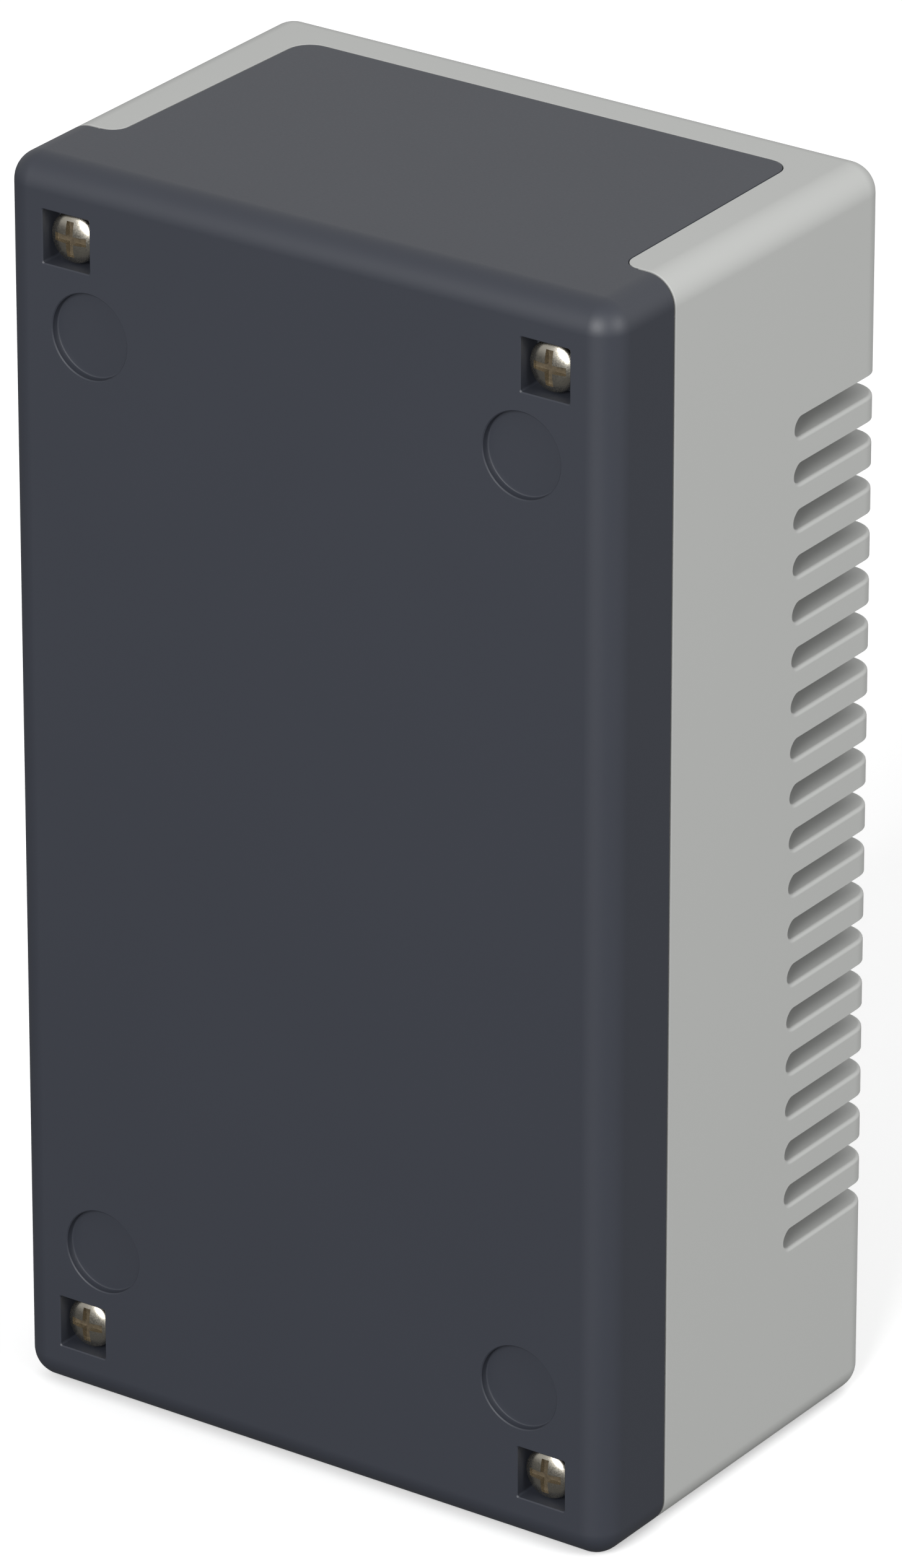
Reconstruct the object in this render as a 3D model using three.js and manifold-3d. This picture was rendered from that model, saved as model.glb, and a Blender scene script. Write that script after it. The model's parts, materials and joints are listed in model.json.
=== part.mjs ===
// Small ventilated inverter: two moulded shells, four screws, and the electronics between them.
// Millimetres. +Z runs up the length of the housing, which stands on one end; the dark back face
// looks to -Y, the light front face to +Y. The origin is the middle of the bottom end.

import * as THREE from 'three';
import { mergeVertices } from 'three/addons/utils/BufferGeometryUtils.js';
import { RoundedBoxGeometry } from 'three/addons/geometries/RoundedBoxGeometry.js';
import Module from 'manifold-3d';

const wasm = await Module();
wasm.setup();

// ---------------------------------------------------------------- driving dimensions

// Housing
const LENGTH = 190;
const WIDTH = 101.6;
const DEPTH = 67.2;
const EDGE_RADIUS = 4.4;
const BASE_RISE = 14.8; // back face to parting line
const BACK_WALL = 3;
const FRONT_WALL = 2.5;
const SIDE_WALL = 2.5;
const END_WALL = 2.5;
const LIP_DEPTH = 2; // how far the cover's inner lip reaches into the base
const LIP_WALL = 1.2;

// End tongues of the base, let flush into the ends of the cover
const TONGUE_REACH = 58; // back face to the tongue's far edge
const TONGUE_HALF_WIDTH = 41.8; // at the parting line
const TONGUE_DRAFT = 1; // degrees, narrower towards the front
const TONGUE_CORNER_RADIUS = 3.4;
const TONGUE_ROOT_RADIUS = 2.3;

// Ventilation slots
const SLOT_COUNT = 19;
const SLOT_PITCH = 6.946;
const SLOT_HEIGHT = 3.2;
const SLOT_START = 44.9; // back face to the rounded end of a slot
const VENT_DEPTH = 6; // depth of the ribs, measured in from the side
const VENT_LAND = 3; // thick wall around the group of slots

// Case screws and their pockets
const SCREW_X = 39.9;
const SCREW_FROM_END = 10.9;
const POCKET_SIDE = 8;
const POCKET_DEPTH = 4;
const POCKET_WALL = 2.2;
const HEAD_RADIUS = 3.7;
const HEAD_SINK = 0.9; // dome top below the back face
const SHANK_RADIUS = 1.75;
const SHANK_LENGTH = 20;
const TUBE_WALL = 2.3;
const CROSS_LENGTH = 5.2;
const CROSS_WIDTH = 1.15;
const CROSS_DEPTH = 1.5;

// Recesses for stick-on feet
const FOOT_RADIUS = 6.35;
const FOOT_DEPTH = 1.2;
const FOOT_X = 36.1;
const FOOT_FROM_END = 24.2;

// Circuit board
const BOARD_HALF_WIDTH = 42;
const BOARD_FROM_END = 19;
const BOARD_THICKNESS = 1.6;
const BOARD_RISE = 11.8; // back face to the underside of the board
const BOARD_POST_RADIUS = 3;
const BOARD_SCREW_RADIUS = 1.25;
const BOARD_SCREW_INSET = 4.5;
const BOARD_SCREW_LENGTH = 7;

// Rows along the board, each from the one before
const TERMINAL_FROM_BOARD_EDGE = 3;
const FUSE_FROM_TERMINALS = 9;
const COIL_FROM_FUSE = 25;
const SINK_FROM_COILS = 6;
const CAN_FROM_SINK_END = 2;
const TRANSFORMER_FROM_CANS = 22;
const CONTROL_FROM_BOARD_EDGE = 12;
const COIL_X = 26;

// Pan-head screws, as shares of the shank's radius
const PAN_HEAD = 1.9;
const PAN_RIM = 0.7;
const PAN_RISE = 1.2;
const PAN_CROWN = 0.6; // flat top as a share of the head
const PAN_SLOT = 0.5;

// Terminals and cable entries
const DC_X = -22;
const AC_X = 20;
const TERMINAL_PITCH = 10;
const TERMINAL_HEIGHT = 14;
const TERMINAL_LENGTH = 12;
const TERMINAL_CHAMFER = 2;
const WIRE_ENTRY_SIDE = 3.8;
const WIRE_ENTRY_RISE = 3;
const WIRE_ENTRY_PAST_CLAMP = 2;
const CLAMP_RADIUS = 2.1;
const CLAMP_HEAD = 2.4;
const CLAMP_NECK = 0.6; // threaded end as a share of the head
const CLAMP_SLOT_WIDTH = 0.7;
const CLAMP_SLOT_DEPTH = 1;
const CLAMP_EDGE = 0.3;
const GROMMET_RADIUS = 7; // hole in the end wall
const GROMMET_FLANGE = 2;
const GROMMET_FROM_BACK = 29.6;
const GROMMET_DISH_DEPTH = 0.5;
const GROMMET_DISH_RIM = 1;
const GROMMET_NOSE = 2;
const ENTRY_RIM = 2.2; // extra radius of the thick rim round each cable entry

// Fuse
const FUSE_RADIUS = 2.6;
const FUSE_LENGTH = 20;
const FUSE_TUBE_STEP = 0.25; // the tube is this much thinner than its caps
const FUSE_BASE_HEIGHT = 3;
const FUSE_BASE_MARGIN = 2;
const FUSE_FROM_BOARD_SIDE = 4;
const FUSE_RISE = 1.5; // fuse above the floor of its clips
const CLIP_WIDTH = 5;
const CLIP_SHEET = 0.6;
const CLIP_REACH = 1; // straight part of a clip above the fuse
const CLIP_FLARE = 1;
const CLIP_SPREAD = 0.8;

// Varistor
const VARISTOR_RADIUS = 7;
const VARISTOR_THICKNESS = 4;
const VARISTOR_RISE = 3;
const VARISTOR_LEAD_RADIUS = 0.6;
const VARISTOR_LEAD_SPACING = 7.5;
const VARISTOR_LEAD_INTO = 4; // lead's end below the disc's centre

// Coils
const TOROID_RADIUS = 12.5;
const TOROID_HOLE = 7;
const TOROID_HEIGHT = 9;
const WIRE_BUILD = 1.8; // thickness of a winding on its core
const CHOKE_SPLIT = 10; // degrees that each choke winding stops short of the middle
const INDUCTOR_SPLIT = 15; // degrees that the inductor's winding stops short of its leads

// Cooling
const SINK_LENGTH = 62;
const SINK_HEIGHT = 40;
const SINK_PLATE = 3;
const SINK_FIN = 7.5;
const SINK_FIN_COUNT = 7;
const FIN_THICKNESS = 2;
const FIN_TAPER = 0.2; // each face of a fin, from root to edge
const SINK_INNER_X = 32.5;
const TRANSISTOR_WIDTH = 16;
const TRANSISTOR_HEIGHT = 20;
const TRANSISTOR_THICKNESS = 4.8;
const TRANSISTOR_RISE = 12;
const TRANSISTOR_SPACING = 30;
const TRANSISTOR_SCREW_RADIUS = 1.5;
const TRANSISTOR_HOLE_SHARE = 0.72; // height of the hole as a share of the body's
const LEG_PITCH = 5.4;
const LEG_HALF_WIDTH = 0.6;
const LEG_FROM_BACK = 2;
const LEG_SHEET = 0.6;
const TRANSISTOR_SCREW_PAST = 1;
const TRANSISTOR_SCREW_RIM = 1;
const TRANSISTOR_SCREW_RISE = 1.8;

// Transformer
const CORE_LENGTH = 36;
const CORE_HEIGHT = 30;
const CORE_THICKNESS = 12;
const CORE_BACK = 5;
const CORE_LEG = 5;
const CORE_CENTRE = 10;
const BOBBIN_WALL = 1;
const CORE_RISE = 3; // board to the underside of the core
const WINDING_BUILD = 4; // room for the windings outside the bobbin's tube
const FLANGE_SHEET = 1.2;
const BOBBIN_FOOT = 3.4;
const WINDING_STEP_Y = 0.4; // windings below the edge of the flanges
const WINDING_STEP_Z = 0.5;

// Capacitors, relay, control board
const CAN_RADIUS = 7.5;
const CAN_HEIGHT = 30;
const CAN_SPACING = 17;
const CAN_EDGE = 0.8; // rounding of the can, and depth of its rolled groove
const CAN_GROOVE = [2.4, 3.2, 4]; // start, bottom and end of the groove, from the board
const CAN_DISH = 0.3;
const CAN_FOOT_STEP = 0.5;
const FILM = { width: 18, length: 8, height: 15, spacing: 12, offset: -1 };
const RELAY = { width: 28, length: 12, height: 16 };
const BOXED_EDGE = 0.8;
const CONTROL_HALF_WIDTH = 30;
const CONTROL_HEIGHT = 28;
const CHIP = { side: 12, height: 10, thickness: 1.6, legs: 8, pitch: 1.4, legReach: 1.2, legHalf: 0.25 };
const CHIP_LEG_SHEET = 0.5;
const HEADER = { width: 30, height: 5, depth: 2.6, pins: 11, pitch: 2.54, pinSide: 0.64, pinRise: 2 };
const HEADER_PIN_REACH = 2.4;
const LED_RADIUS = 1.5;
const LED_LEVELS = [1.4, 2, 2.3]; // shoulder, dome and top above its foot
const LIGHT_GUIDE_RADIUS = 2;
const LIGHT_GUIDE_FROM_BOARD = 3; // control board's edge to the guide
const LIGHT_GUIDE_COLLAR = 1;
const LIGHT_GUIDE_COLLAR_DEPTH = 2;
const LIGHT_GUIDE_EDGE = 0.5;

// Named clearances
const FIT = 0.3; // between pieces that touch or run in each other
const OVER = 1; // how far a cutter runs past what it cuts
const SINK_IN = 0.5; // how far a joined feature is rooted in its wall

// ---------------------------------------------------------------- planes worked out from them

const BACK = -DEPTH / 2;
const FRONT = DEPTH / 2;
const PART_LINE = BACK + BASE_RISE;
const INNER_BACK = BACK + BACK_WALL;
const INNER_FRONT = FRONT - FRONT_WALL;
const INNER_SIDE = WIDTH / 2 - SIDE_WALL;
const POCKET_FLOOR = BACK + POCKET_DEPTH;
const BOARD_UNDER = BACK + BOARD_RISE;
const BOARD_TOP = BOARD_UNDER + BOARD_THICKNESS;
const SEAT = BOARD_TOP + FIT;
const BOARD_LOW = BOARD_FROM_END;
const BOARD_HIGH = LENGTH - BOARD_FROM_END;
const GROMMET_Y = BACK + GROMMET_FROM_BACK;
const CONTROL_Z = BOARD_HIGH - CONTROL_FROM_BOARD_EDGE;

// Rows of parts on the board, measured from its lower edge
const TERMINAL_LOW = BOARD_LOW + TERMINAL_FROM_BOARD_EDGE;
const TERMINAL_TOP = TERMINAL_LOW + TERMINAL_LENGTH;
const FUSE_Z = TERMINAL_TOP + FUSE_FROM_TERMINALS;
const COIL_Z = FUSE_Z + COIL_FROM_FUSE;
const SINK_LOW = COIL_Z + TOROID_RADIUS + SINK_FROM_COILS;
const CAN_Z = SINK_LOW + CAN_RADIUS + CAN_FROM_SINK_END;
const TRANSFORMER_Z = CAN_Z + CAN_RADIUS + TRANSFORMER_FROM_CANS;

// Fuse, coils and transformer above the board
const CLIP_LOW = SEAT + FUSE_BASE_HEIGHT + FIT;
const FUSE_X = FUSE_FROM_BOARD_SIDE + FUSE_BASE_MARGIN + FUSE_LENGTH / 2 - BOARD_HALF_WIDTH;
const FUSE_Y = CLIP_LOW + FUSE_RISE + FUSE_RADIUS;
const COIL_Y = SEAT + WIRE_BUILD + FIT + TOROID_HEIGHT / 2;
const CORE_Y = SEAT + CORE_RISE + CORE_HEIGHT / 2;

// Transformer's window, tube and flanges, as half sizes
const TUBE_Y = CORE_CENTRE / 2 + FIT;
const TUBE_Z = CORE_THICKNESS / 2 + FIT;
const WINDOW_HALF = CORE_LENGTH / 2 - CORE_BACK;
const FLANGE_Y = CORE_HEIGHT / 2 - CORE_LEG - FIT;
const FLANGE_Z = TUBE_Z + BOBBIN_WALL + WINDING_BUILD;

// Transistors on a heat sink
const TRANSISTOR_PLACES = [-0.5, 0.5].map((k) => SINK_LOW + SINK_LENGTH / 2 + k * TRANSISTOR_SPACING);
const TRANSISTOR_HOLE_Y = SEAT + TRANSISTOR_RISE + TRANSISTOR_HEIGHT * TRANSISTOR_HOLE_SHARE;

// ---------------------------------------------------------------- shape helpers

/** Solid from a closed three.js geometry. */
function solid(geometry) {
  const bare = geometry.clone();
  bare.deleteAttribute('normal');
  bare.deleteAttribute('uv');
  const merged = mergeVertices(bare, 1e-4);
  return new wasm.Manifold(new wasm.Mesh({
    numProp: 3,
    vertProperties: new Float32Array(merged.attributes.position.array),
    triVerts: new Uint32Array(merged.index.array),
  }));
}

/** three.js geometry from a solid. */
function geometryOf(body) {
  const mesh = body.getMesh();
  const geometry = new THREE.BufferGeometry();
  geometry.setAttribute('position', new THREE.BufferAttribute(new Float32Array(mesh.vertProperties), 3));
  geometry.setIndex(new THREE.BufferAttribute(new Uint32Array(mesh.triVerts), 1));
  geometry.computeVertexNormals();
  return geometry;
}

/** Box between two values on each axis. */
function box([x0, x1], [y0, y1], [z0, z1]) {
  const geometry = new THREE.BoxGeometry(x1 - x0, y1 - y0, z1 - z0);
  geometry.translate((x0 + x1) / 2, (y0 + y1) / 2, (z0 + z1) / 2);
  return solid(geometry);
}

/** Box of a width along X and a length along Z about a centre, between two heights in Y. */
function block(x, z, width, length, y0, y1) {
  return box([x - width / 2, x + width / 2], [y0, y1], [z - length / 2, z + length / 2]);
}

/** Round rod along Y between two heights. */
function rodY(radius, x, z, y0, y1, sides = 12) {
  const geometry = new THREE.CylinderGeometry(radius, radius, y1 - y0, sides);
  geometry.translate(x, (y0 + y1) / 2, z);
  return solid(geometry);
}

/** Round rod along X. */
function rodX(radius, y, z, x0, x1, sides = 12) {
  const geometry = new THREE.CylinderGeometry(radius, radius, x1 - x0, sides);
  geometry.rotateZ(Math.PI / 2);
  geometry.translate((x0 + x1) / 2, y, z);
  return solid(geometry);
}

/** Body turned about the Y axis from [radius, y] points that start and end on the axis. */
function turnedY(points, x, z, sides = 16) {
  const geometry = new THREE.LatheGeometry(points.map(([r, y]) => new THREE.Vector2(r, y)), sides);
  geometry.translate(x, 0, z);
  return solid(geometry);
}

/** Body turned about the Z axis from [radius, z] points that start and end on the axis. */
function turnedZ(points, x, y, sides = 18) {
  const geometry = new THREE.LatheGeometry(points.map(([r, z]) => new THREE.Vector2(r, z)), sides);
  geometry.rotateX(Math.PI / 2);
  geometry.translate(x, y, 0);
  return solid(geometry);
}

/** Outline in X and Y carried along Z. */
function prismZ(shape, z0, z1, curveSegments = 4) {
  const geometry = new THREE.ExtrudeGeometry(shape, { depth: z1 - z0, bevelEnabled: false, curveSegments });
  geometry.translate(0, 0, z0);
  return solid(geometry);
}

/** Outline in Y and Z carried along X. */
function prismX(shape, x0, x1, curveSegments = 4) {
  const geometry = new THREE.ExtrudeGeometry(shape, { depth: x1 - x0, bevelEnabled: false, curveSegments });
  const turn = new THREE.Matrix4().makeBasis(
    new THREE.Vector3(0, 1, 0),
    new THREE.Vector3(0, 0, 1),
    new THREE.Vector3(1, 0, 0),
  );
  geometry.applyMatrix4(turn);
  geometry.translate(x0, 0, 0);
  return solid(geometry);
}

/** Closed outline through straight points. */
function outline(points) {
  return new THREE.Shape(points.map(([u, v]) => new THREE.Vector2(u, v)));
}

/** Sum of several solids. */
function join(bodies) {
  return bodies.reduce((whole, body) => whole.add(body));
}

/** First solid less all the others. */
function cut(body, cutters) {
  return cutters.reduce((rest, cutter) => rest.subtract(cutter), body);
}

// ---------------------------------------------------------------- materials

const FINISHES = {
  graphite: { color: '#40434a', roughness: 0.55, metalness: 0 },
  lightGrey: { color: '#b0b1ae', roughness: 0.55, metalness: 0 },
  nickel: { color: '#b8b3a8', roughness: 0.25, metalness: 1 },
  zinc: { color: '#a9adb0', roughness: 0.35, metalness: 1 },
  rubber: { color: '#1c1c1e', roughness: 0.8, metalness: 0 },
  clear: { color: '#dfe6e8', roughness: 0.15, metalness: 0 },
  laminate: { color: '#1f5a3a', roughness: 0.45, metalness: 0 },
  nylonGreen: { color: '#3f8f57', roughness: 0.5, metalness: 0 },
  nylonBlack: { color: '#202124', roughness: 0.5, metalness: 0 },
  bronze: { color: '#c9a15a', roughness: 0.3, metalness: 1 },
  glass: { color: '#d8d4c6', roughness: 0.2, metalness: 0 },
  varistorBlue: { color: '#2c5fa8', roughness: 0.45, metalness: 0 },
  ferrite: { color: '#37383b', roughness: 0.6, metalness: 0 },
  enamelWire: { color: '#b5672c', roughness: 0.35, metalness: 0.8 },
  sleeve: { color: '#23293a', roughness: 0.4, metalness: 0 },
  anodised: { color: '#c3c6c8', roughness: 0.4, metalness: 1 },
  epoxy: { color: '#26272a', roughness: 0.5, metalness: 0 },
  bobbin: { color: '#d9d2bd', roughness: 0.5, metalness: 0 },
  tape: { color: '#d8b24a', roughness: 0.45, metalness: 0 },
  filmYellow: { color: '#d9a73a', roughness: 0.45, metalness: 0 },
  relayWhite: { color: '#e4e4df', roughness: 0.4, metalness: 0 },
};

const inverter = new THREE.Group();

/** Adds one named piece with its finish. */
function addPiece(name, body, finish) {
  const mesh = new THREE.Mesh(geometryOf(body), new THREE.MeshStandardMaterial(FINISHES[finish]));
  mesh.name = name;
  inverter.add(mesh);
}

// ---------------------------------------------------------------- housing

/** Places of the four case screws. */
const SCREW_PLACES = [
  ['top_left', -SCREW_X, LENGTH - SCREW_FROM_END],
  ['top_right', SCREW_X, LENGTH - SCREW_FROM_END],
  ['bottom_left', -SCREW_X, SCREW_FROM_END],
  ['bottom_right', SCREW_X, SCREW_FROM_END],
];

/** Places of the four board screws. */
const BOARD_SCREW_PLACES = [-1, 1].flatMap((side) => [
  [side * (BOARD_HALF_WIDTH - BOARD_SCREW_INSET), BOARD_LOW + BOARD_SCREW_INSET],
  [side * (BOARD_HALF_WIDTH - BOARD_SCREW_INSET), BOARD_HIGH - BOARD_SCREW_INSET],
]);

/** The whole housing as one rounded block. */
function housingBlock() {
  const geometry = new RoundedBoxGeometry(WIDTH, DEPTH, LENGTH, 3, EDGE_RADIUS);
  geometry.translate(0, 0, LENGTH / 2);
  return solid(geometry);
}

/** Outline of an end tongue in X and Y, grown by a clearance; it starts below the parting line. */
function tongueOutline(grow) {
  const low = PART_LINE - BASE_RISE / 2;
  const root = TONGUE_ROOT_RADIUS - grow;
  const corner = TONGUE_CORNER_RADIUS + grow;
  const foot = PART_LINE + grow;
  const half = TONGUE_HALF_WIDTH + grow;
  const far = BACK + TONGUE_REACH + grow;
  const farHalf = half - Math.tan(THREE.MathUtils.degToRad(TONGUE_DRAFT)) * (far - foot);
  const shape = new THREE.Shape();
  shape.moveTo(-half - root, low);
  shape.lineTo(half + root, low);
  shape.lineTo(half + root, foot);
  shape.quadraticCurveTo(half, foot, half, foot + root);
  shape.lineTo(farHalf, far - corner);
  shape.absarc(farHalf - corner, far - corner, corner, 0, Math.PI / 2, false);
  shape.absarc(-farHalf + corner, far - corner, corner, Math.PI / 2, Math.PI, false);
  shape.lineTo(-half, foot + root);
  shape.quadraticCurveTo(-half, foot, -half - root, foot);
  shape.closePath();
  return shape;
}

/** Base shell: tray, two end tongues, screw tubes, board posts; pockets and recesses sunk in its back. */
function baseShell() {
  const whole = housingBlock();
  const tray = whole
    .intersect(box([-WIDTH, WIDTH], [BACK - OVER, PART_LINE], [-OVER, LENGTH + OVER]))
    .subtract(box([-INNER_SIDE, INNER_SIDE], [INNER_BACK, FRONT], [END_WALL, LENGTH - END_WALL]));
  const tongues = [[-OVER, END_WALL], [LENGTH - END_WALL, LENGTH + OVER]].map(
    ([z0, z1]) => prismZ(tongueOutline(0), z0, z1).intersect(whole),
  );
  const cable = [DC_X, AC_X].map((x) => turnedZ([
    [0, END_WALL - SINK_IN],
    [GROMMET_RADIUS + GROMMET_FLANGE + ENTRY_RIM, END_WALL - SINK_IN],
    [GROMMET_RADIUS + GROMMET_FLANGE + ENTRY_RIM, 2 * END_WALL],
    [0, 2 * END_WALL],
  ], x, GROMMET_Y));
  const inner = SINK_IN + OVER;
  const tubes = SCREW_PLACES.flatMap(([, x, z]) => [
    block(
      x, z, POCKET_SIDE + 2 * POCKET_WALL, POCKET_SIDE + 2 * POCKET_WALL,
      INNER_BACK - SINK_IN, POCKET_FLOOR + POCKET_WALL,
    ),
    rodY(SHANK_RADIUS + FIT + TUBE_WALL, x, z, POCKET_FLOOR + inner, PART_LINE),
  ]);
  const posts = BOARD_SCREW_PLACES.map(
    ([x, z]) => rodY(BOARD_POST_RADIUS, x, z, INNER_BACK - SINK_IN, BOARD_UNDER - FIT),
  );
  const cutters = SCREW_PLACES.flatMap(([, x, z]) => [
    block(x, z, POCKET_SIDE, POCKET_SIDE, BACK - OVER, POCKET_FLOOR),
    rodY(SHANK_RADIUS + FIT, x, z, BACK, PART_LINE + OVER),
  ]);
  for (const x of [-FOOT_X, FOOT_X]) {
    for (const z of [FOOT_FROM_END, LENGTH - FOOT_FROM_END]) {
      cutters.push(rodY(FOOT_RADIUS, x, z, BACK - OVER, BACK + FOOT_DEPTH, 24));
    }
  }
  for (const [x, z] of BOARD_SCREW_PLACES) {
    cutters.push(rodY(BOARD_SCREW_RADIUS + FIT, x, z, BOARD_UNDER - BOARD_SCREW_LENGTH, BOARD_UNDER + OVER));
  }
  for (const x of [DC_X, AC_X]) {
    cutters.push(turnedZ([
      [0, -OVER],
      [GROMMET_RADIUS + GROMMET_FLANGE, -OVER],
      [GROMMET_RADIUS + GROMMET_FLANGE, END_WALL / 2],
      [GROMMET_RADIUS, END_WALL / 2],
      [GROMMET_RADIUS, 2 * END_WALL + OVER],
      [0, 2 * END_WALL + OVER],
    ], x, GROMMET_Y));
  }
  return cut(join([tray, ...tongues, ...cable, ...tubes, ...posts]), cutters);
}

/** One slot, long enough to cut a side rib panel from its inside face out, on the side given. */
function slotCutter(side, z) {
  const start = BACK + SLOT_START + SLOT_HEIGHT / 2;
  const half = SLOT_HEIGHT / 2;
  const shape = new THREE.Shape();
  shape.moveTo(FRONT + OVER, z - half);
  shape.lineTo(FRONT + OVER, z + half);
  shape.lineTo(start, z + half);
  shape.absarc(start, z, half, Math.PI / 2, 3 * Math.PI / 2, false);
  shape.closePath();
  const inner = WIDTH / 2 - VENT_DEPTH - SINK_IN;
  const outer = WIDTH / 2 + OVER;
  return side > 0 ? prismX(shape, inner, outer) : prismX(shape, -outer, -inner);
}

/** Cover shell: lid with rib panels, an inner lip, screw bosses, and cut-outs for the end tongues. */
function coverShell() {
  const low = PART_LINE + FIT;
  const lid = housingBlock()
    .intersect(box([-WIDTH, WIDTH], [low, FRONT + OVER], [-OVER, LENGTH + OVER]))
    .subtract(box([-INNER_SIDE, INNER_SIDE], [BACK, INNER_FRONT], [END_WALL, LENGTH - END_WALL]));
  const slotsHalf = ((SLOT_COUNT - 1) * SLOT_PITCH + SLOT_HEIGHT) / 2;
  const panels = [-1, 1].map((side) => {
    const ends = [side * (WIDTH / 2 - VENT_DEPTH), side * (INNER_SIDE + SINK_IN)].sort((a, b) => a - b);
    return box(
      ends,
      [BACK + SLOT_START - VENT_LAND, INNER_FRONT + SINK_IN],
      [LENGTH / 2 - slotsHalf - VENT_LAND, LENGTH / 2 + slotsHalf + VENT_LAND],
    );
  });
  const lipSide = INNER_SIDE - FIT;
  const lipEnd = END_WALL + FIT;
  const pastLip = lipEnd + LIP_WALL + FIT; // the tongues' openings run through the lip
  const lip = join([
    box([-lipSide, lipSide], [low - LIP_DEPTH, low + LIP_DEPTH], [lipEnd, LENGTH - lipEnd]),
    box([-INNER_SIDE - SINK_IN, INNER_SIDE + SINK_IN], [low, low + LIP_DEPTH], [lipEnd, LENGTH - lipEnd]),
    box([-lipSide, lipSide], [low, low + LIP_DEPTH], [END_WALL - SINK_IN, LENGTH - END_WALL + SINK_IN]),
  ]).subtract(box(
    [-lipSide + LIP_WALL, lipSide - LIP_WALL],
    [BACK, FRONT],
    [lipEnd + LIP_WALL, LENGTH - lipEnd - LIP_WALL],
  ));
  const bossRadius = SHANK_RADIUS + FIT + TUBE_WALL;
  const bosses = SCREW_PLACES.map(
    ([, x, z]) => rodY(bossRadius, x, z, low, INNER_FRONT + SINK_IN),
  );
  const shankEnd = POCKET_FLOOR + SHANK_LENGTH;
  const cutters = SCREW_PLACES.map(
    ([, x, z]) => rodY(SHANK_RADIUS + FIT, x, z, low - OVER, shankEnd + OVER),
  );
  for (const [z0, z1] of [[-OVER, pastLip], [LENGTH - pastLip, LENGTH + OVER]]) {
    cutters.push(prismZ(tongueOutline(FIT), z0, z1));
  }
  for (let i = 0; i < SLOT_COUNT; i += 1) {
    const z = LENGTH / 2 + (i - (SLOT_COUNT - 1) / 2) * SLOT_PITCH;
    cutters.push(slotCutter(-1, z), slotCutter(1, z));
  }
  cutters.push(rodY(LIGHT_GUIDE_RADIUS + FIT, 0, CONTROL_Z, INNER_FRONT - OVER, FRONT + OVER));
  return cut(join([lid, ...panels, lip, ...bosses]), cutters);
}

/** Dome-headed screw with a crossed recess; its head faces -Y and its shank runs to +Y. */
function caseScrew(x, z) {
  const under = POCKET_FLOOR - FIT;
  const top = BACK + HEAD_SINK;
  const rise = under - top;
  const dome = [0, 1 / 3, 2 / 3, 1].map((t) => {
    const angle = t * Math.PI / 2;
    return [HEAD_RADIUS * Math.sin(angle), top + rise * 0.7 * (1 - Math.cos(angle))];
  });
  const tip = under + SHANK_LENGTH;
  const body = turnedY([
    ...dome,
    [HEAD_RADIUS, under],
    [SHANK_RADIUS, under],
    [SHANK_RADIUS, tip - SHANK_RADIUS],
    [0, tip],
  ], x, z);
  return cut(body, [
    block(x, z, CROSS_LENGTH, CROSS_WIDTH, top - OVER, top + CROSS_DEPTH),
    block(x, z, CROSS_WIDTH, CROSS_LENGTH, top - OVER, top + CROSS_DEPTH),
  ]);
}

/** Blind rubber grommet with a groove that grips the end wall, and a shallow dish on the outside. */
function grommet(x) {
  const flange = GROMMET_RADIUS + GROMMET_FLANGE - FIT;
  const neck = GROMMET_RADIUS - FIT;
  const face = FIT;
  const seat = END_WALL / 2 - FIT;
  const back = 2 * END_WALL + FIT;
  const dish = neck - GROMMET_DISH_RIM;
  return turnedZ([
    [0, face + GROMMET_DISH_DEPTH],
    [dish - GROMMET_DISH_DEPTH, face + GROMMET_DISH_DEPTH],
    [dish, face],
    [flange, face],
    [flange, seat],
    [neck, seat],
    [neck, back],
    [neck + GROMMET_FLANGE / 2, back],
    [dish, back + GROMMET_NOSE],
    [0, back + GROMMET_NOSE],
  ], x, GROMMET_Y);
}

/** Clear rod that carries the status light from the control board to the front face. */
function lightGuide() {
  const low = SEAT + CONTROL_HEIGHT + LIGHT_GUIDE_FROM_BOARD;
  const collar = LIGHT_GUIDE_RADIUS + LIGHT_GUIDE_COLLAR;
  return turnedY([
    [0, low],
    [LIGHT_GUIDE_RADIUS, low],
    [LIGHT_GUIDE_RADIUS, INNER_FRONT - LIGHT_GUIDE_COLLAR_DEPTH],
    [collar, INNER_FRONT - LIGHT_GUIDE_COLLAR_DEPTH],
    [collar, INNER_FRONT - FIT],
    [LIGHT_GUIDE_RADIUS, INNER_FRONT - FIT],
    [LIGHT_GUIDE_RADIUS, FRONT - LIGHT_GUIDE_EDGE],
    [LIGHT_GUIDE_RADIUS - LIGHT_GUIDE_EDGE, FRONT],
    [0, FRONT],
  ], 0, CONTROL_Z, 12);
}

// ---------------------------------------------------------------- circuit board and connections

/** Main board with the holes of its four screws. */
function mainBoard() {
  const plate = box([-BOARD_HALF_WIDTH, BOARD_HALF_WIDTH], [BOARD_UNDER, BOARD_TOP], [BOARD_LOW, BOARD_HIGH]);
  const holes = BOARD_SCREW_PLACES.map(
    ([x, z]) => rodY(BOARD_SCREW_RADIUS + FIT, x, z, BOARD_UNDER - OVER, BOARD_TOP + OVER),
  );
  return cut(plate, holes);
}

/** Pan-head screw that points to -Y, with its head resting at a height. */
function panScrew(radius, x, z, rest, length) {
  const head = radius * PAN_HEAD;
  const rim = rest + radius * PAN_RIM;
  const top = rest + radius * PAN_RISE;
  return cut(turnedY([
    [0, rest - length],
    [radius, rest - length],
    [radius, rest],
    [head, rest],
    [head, rim],
    [head * PAN_CROWN, top],
    [0, top],
  ], x, z, 10), [
    block(x, z, 2 * head * PAN_CROWN, radius * PAN_SLOT, rim, top + OVER),
  ]);
}

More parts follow.
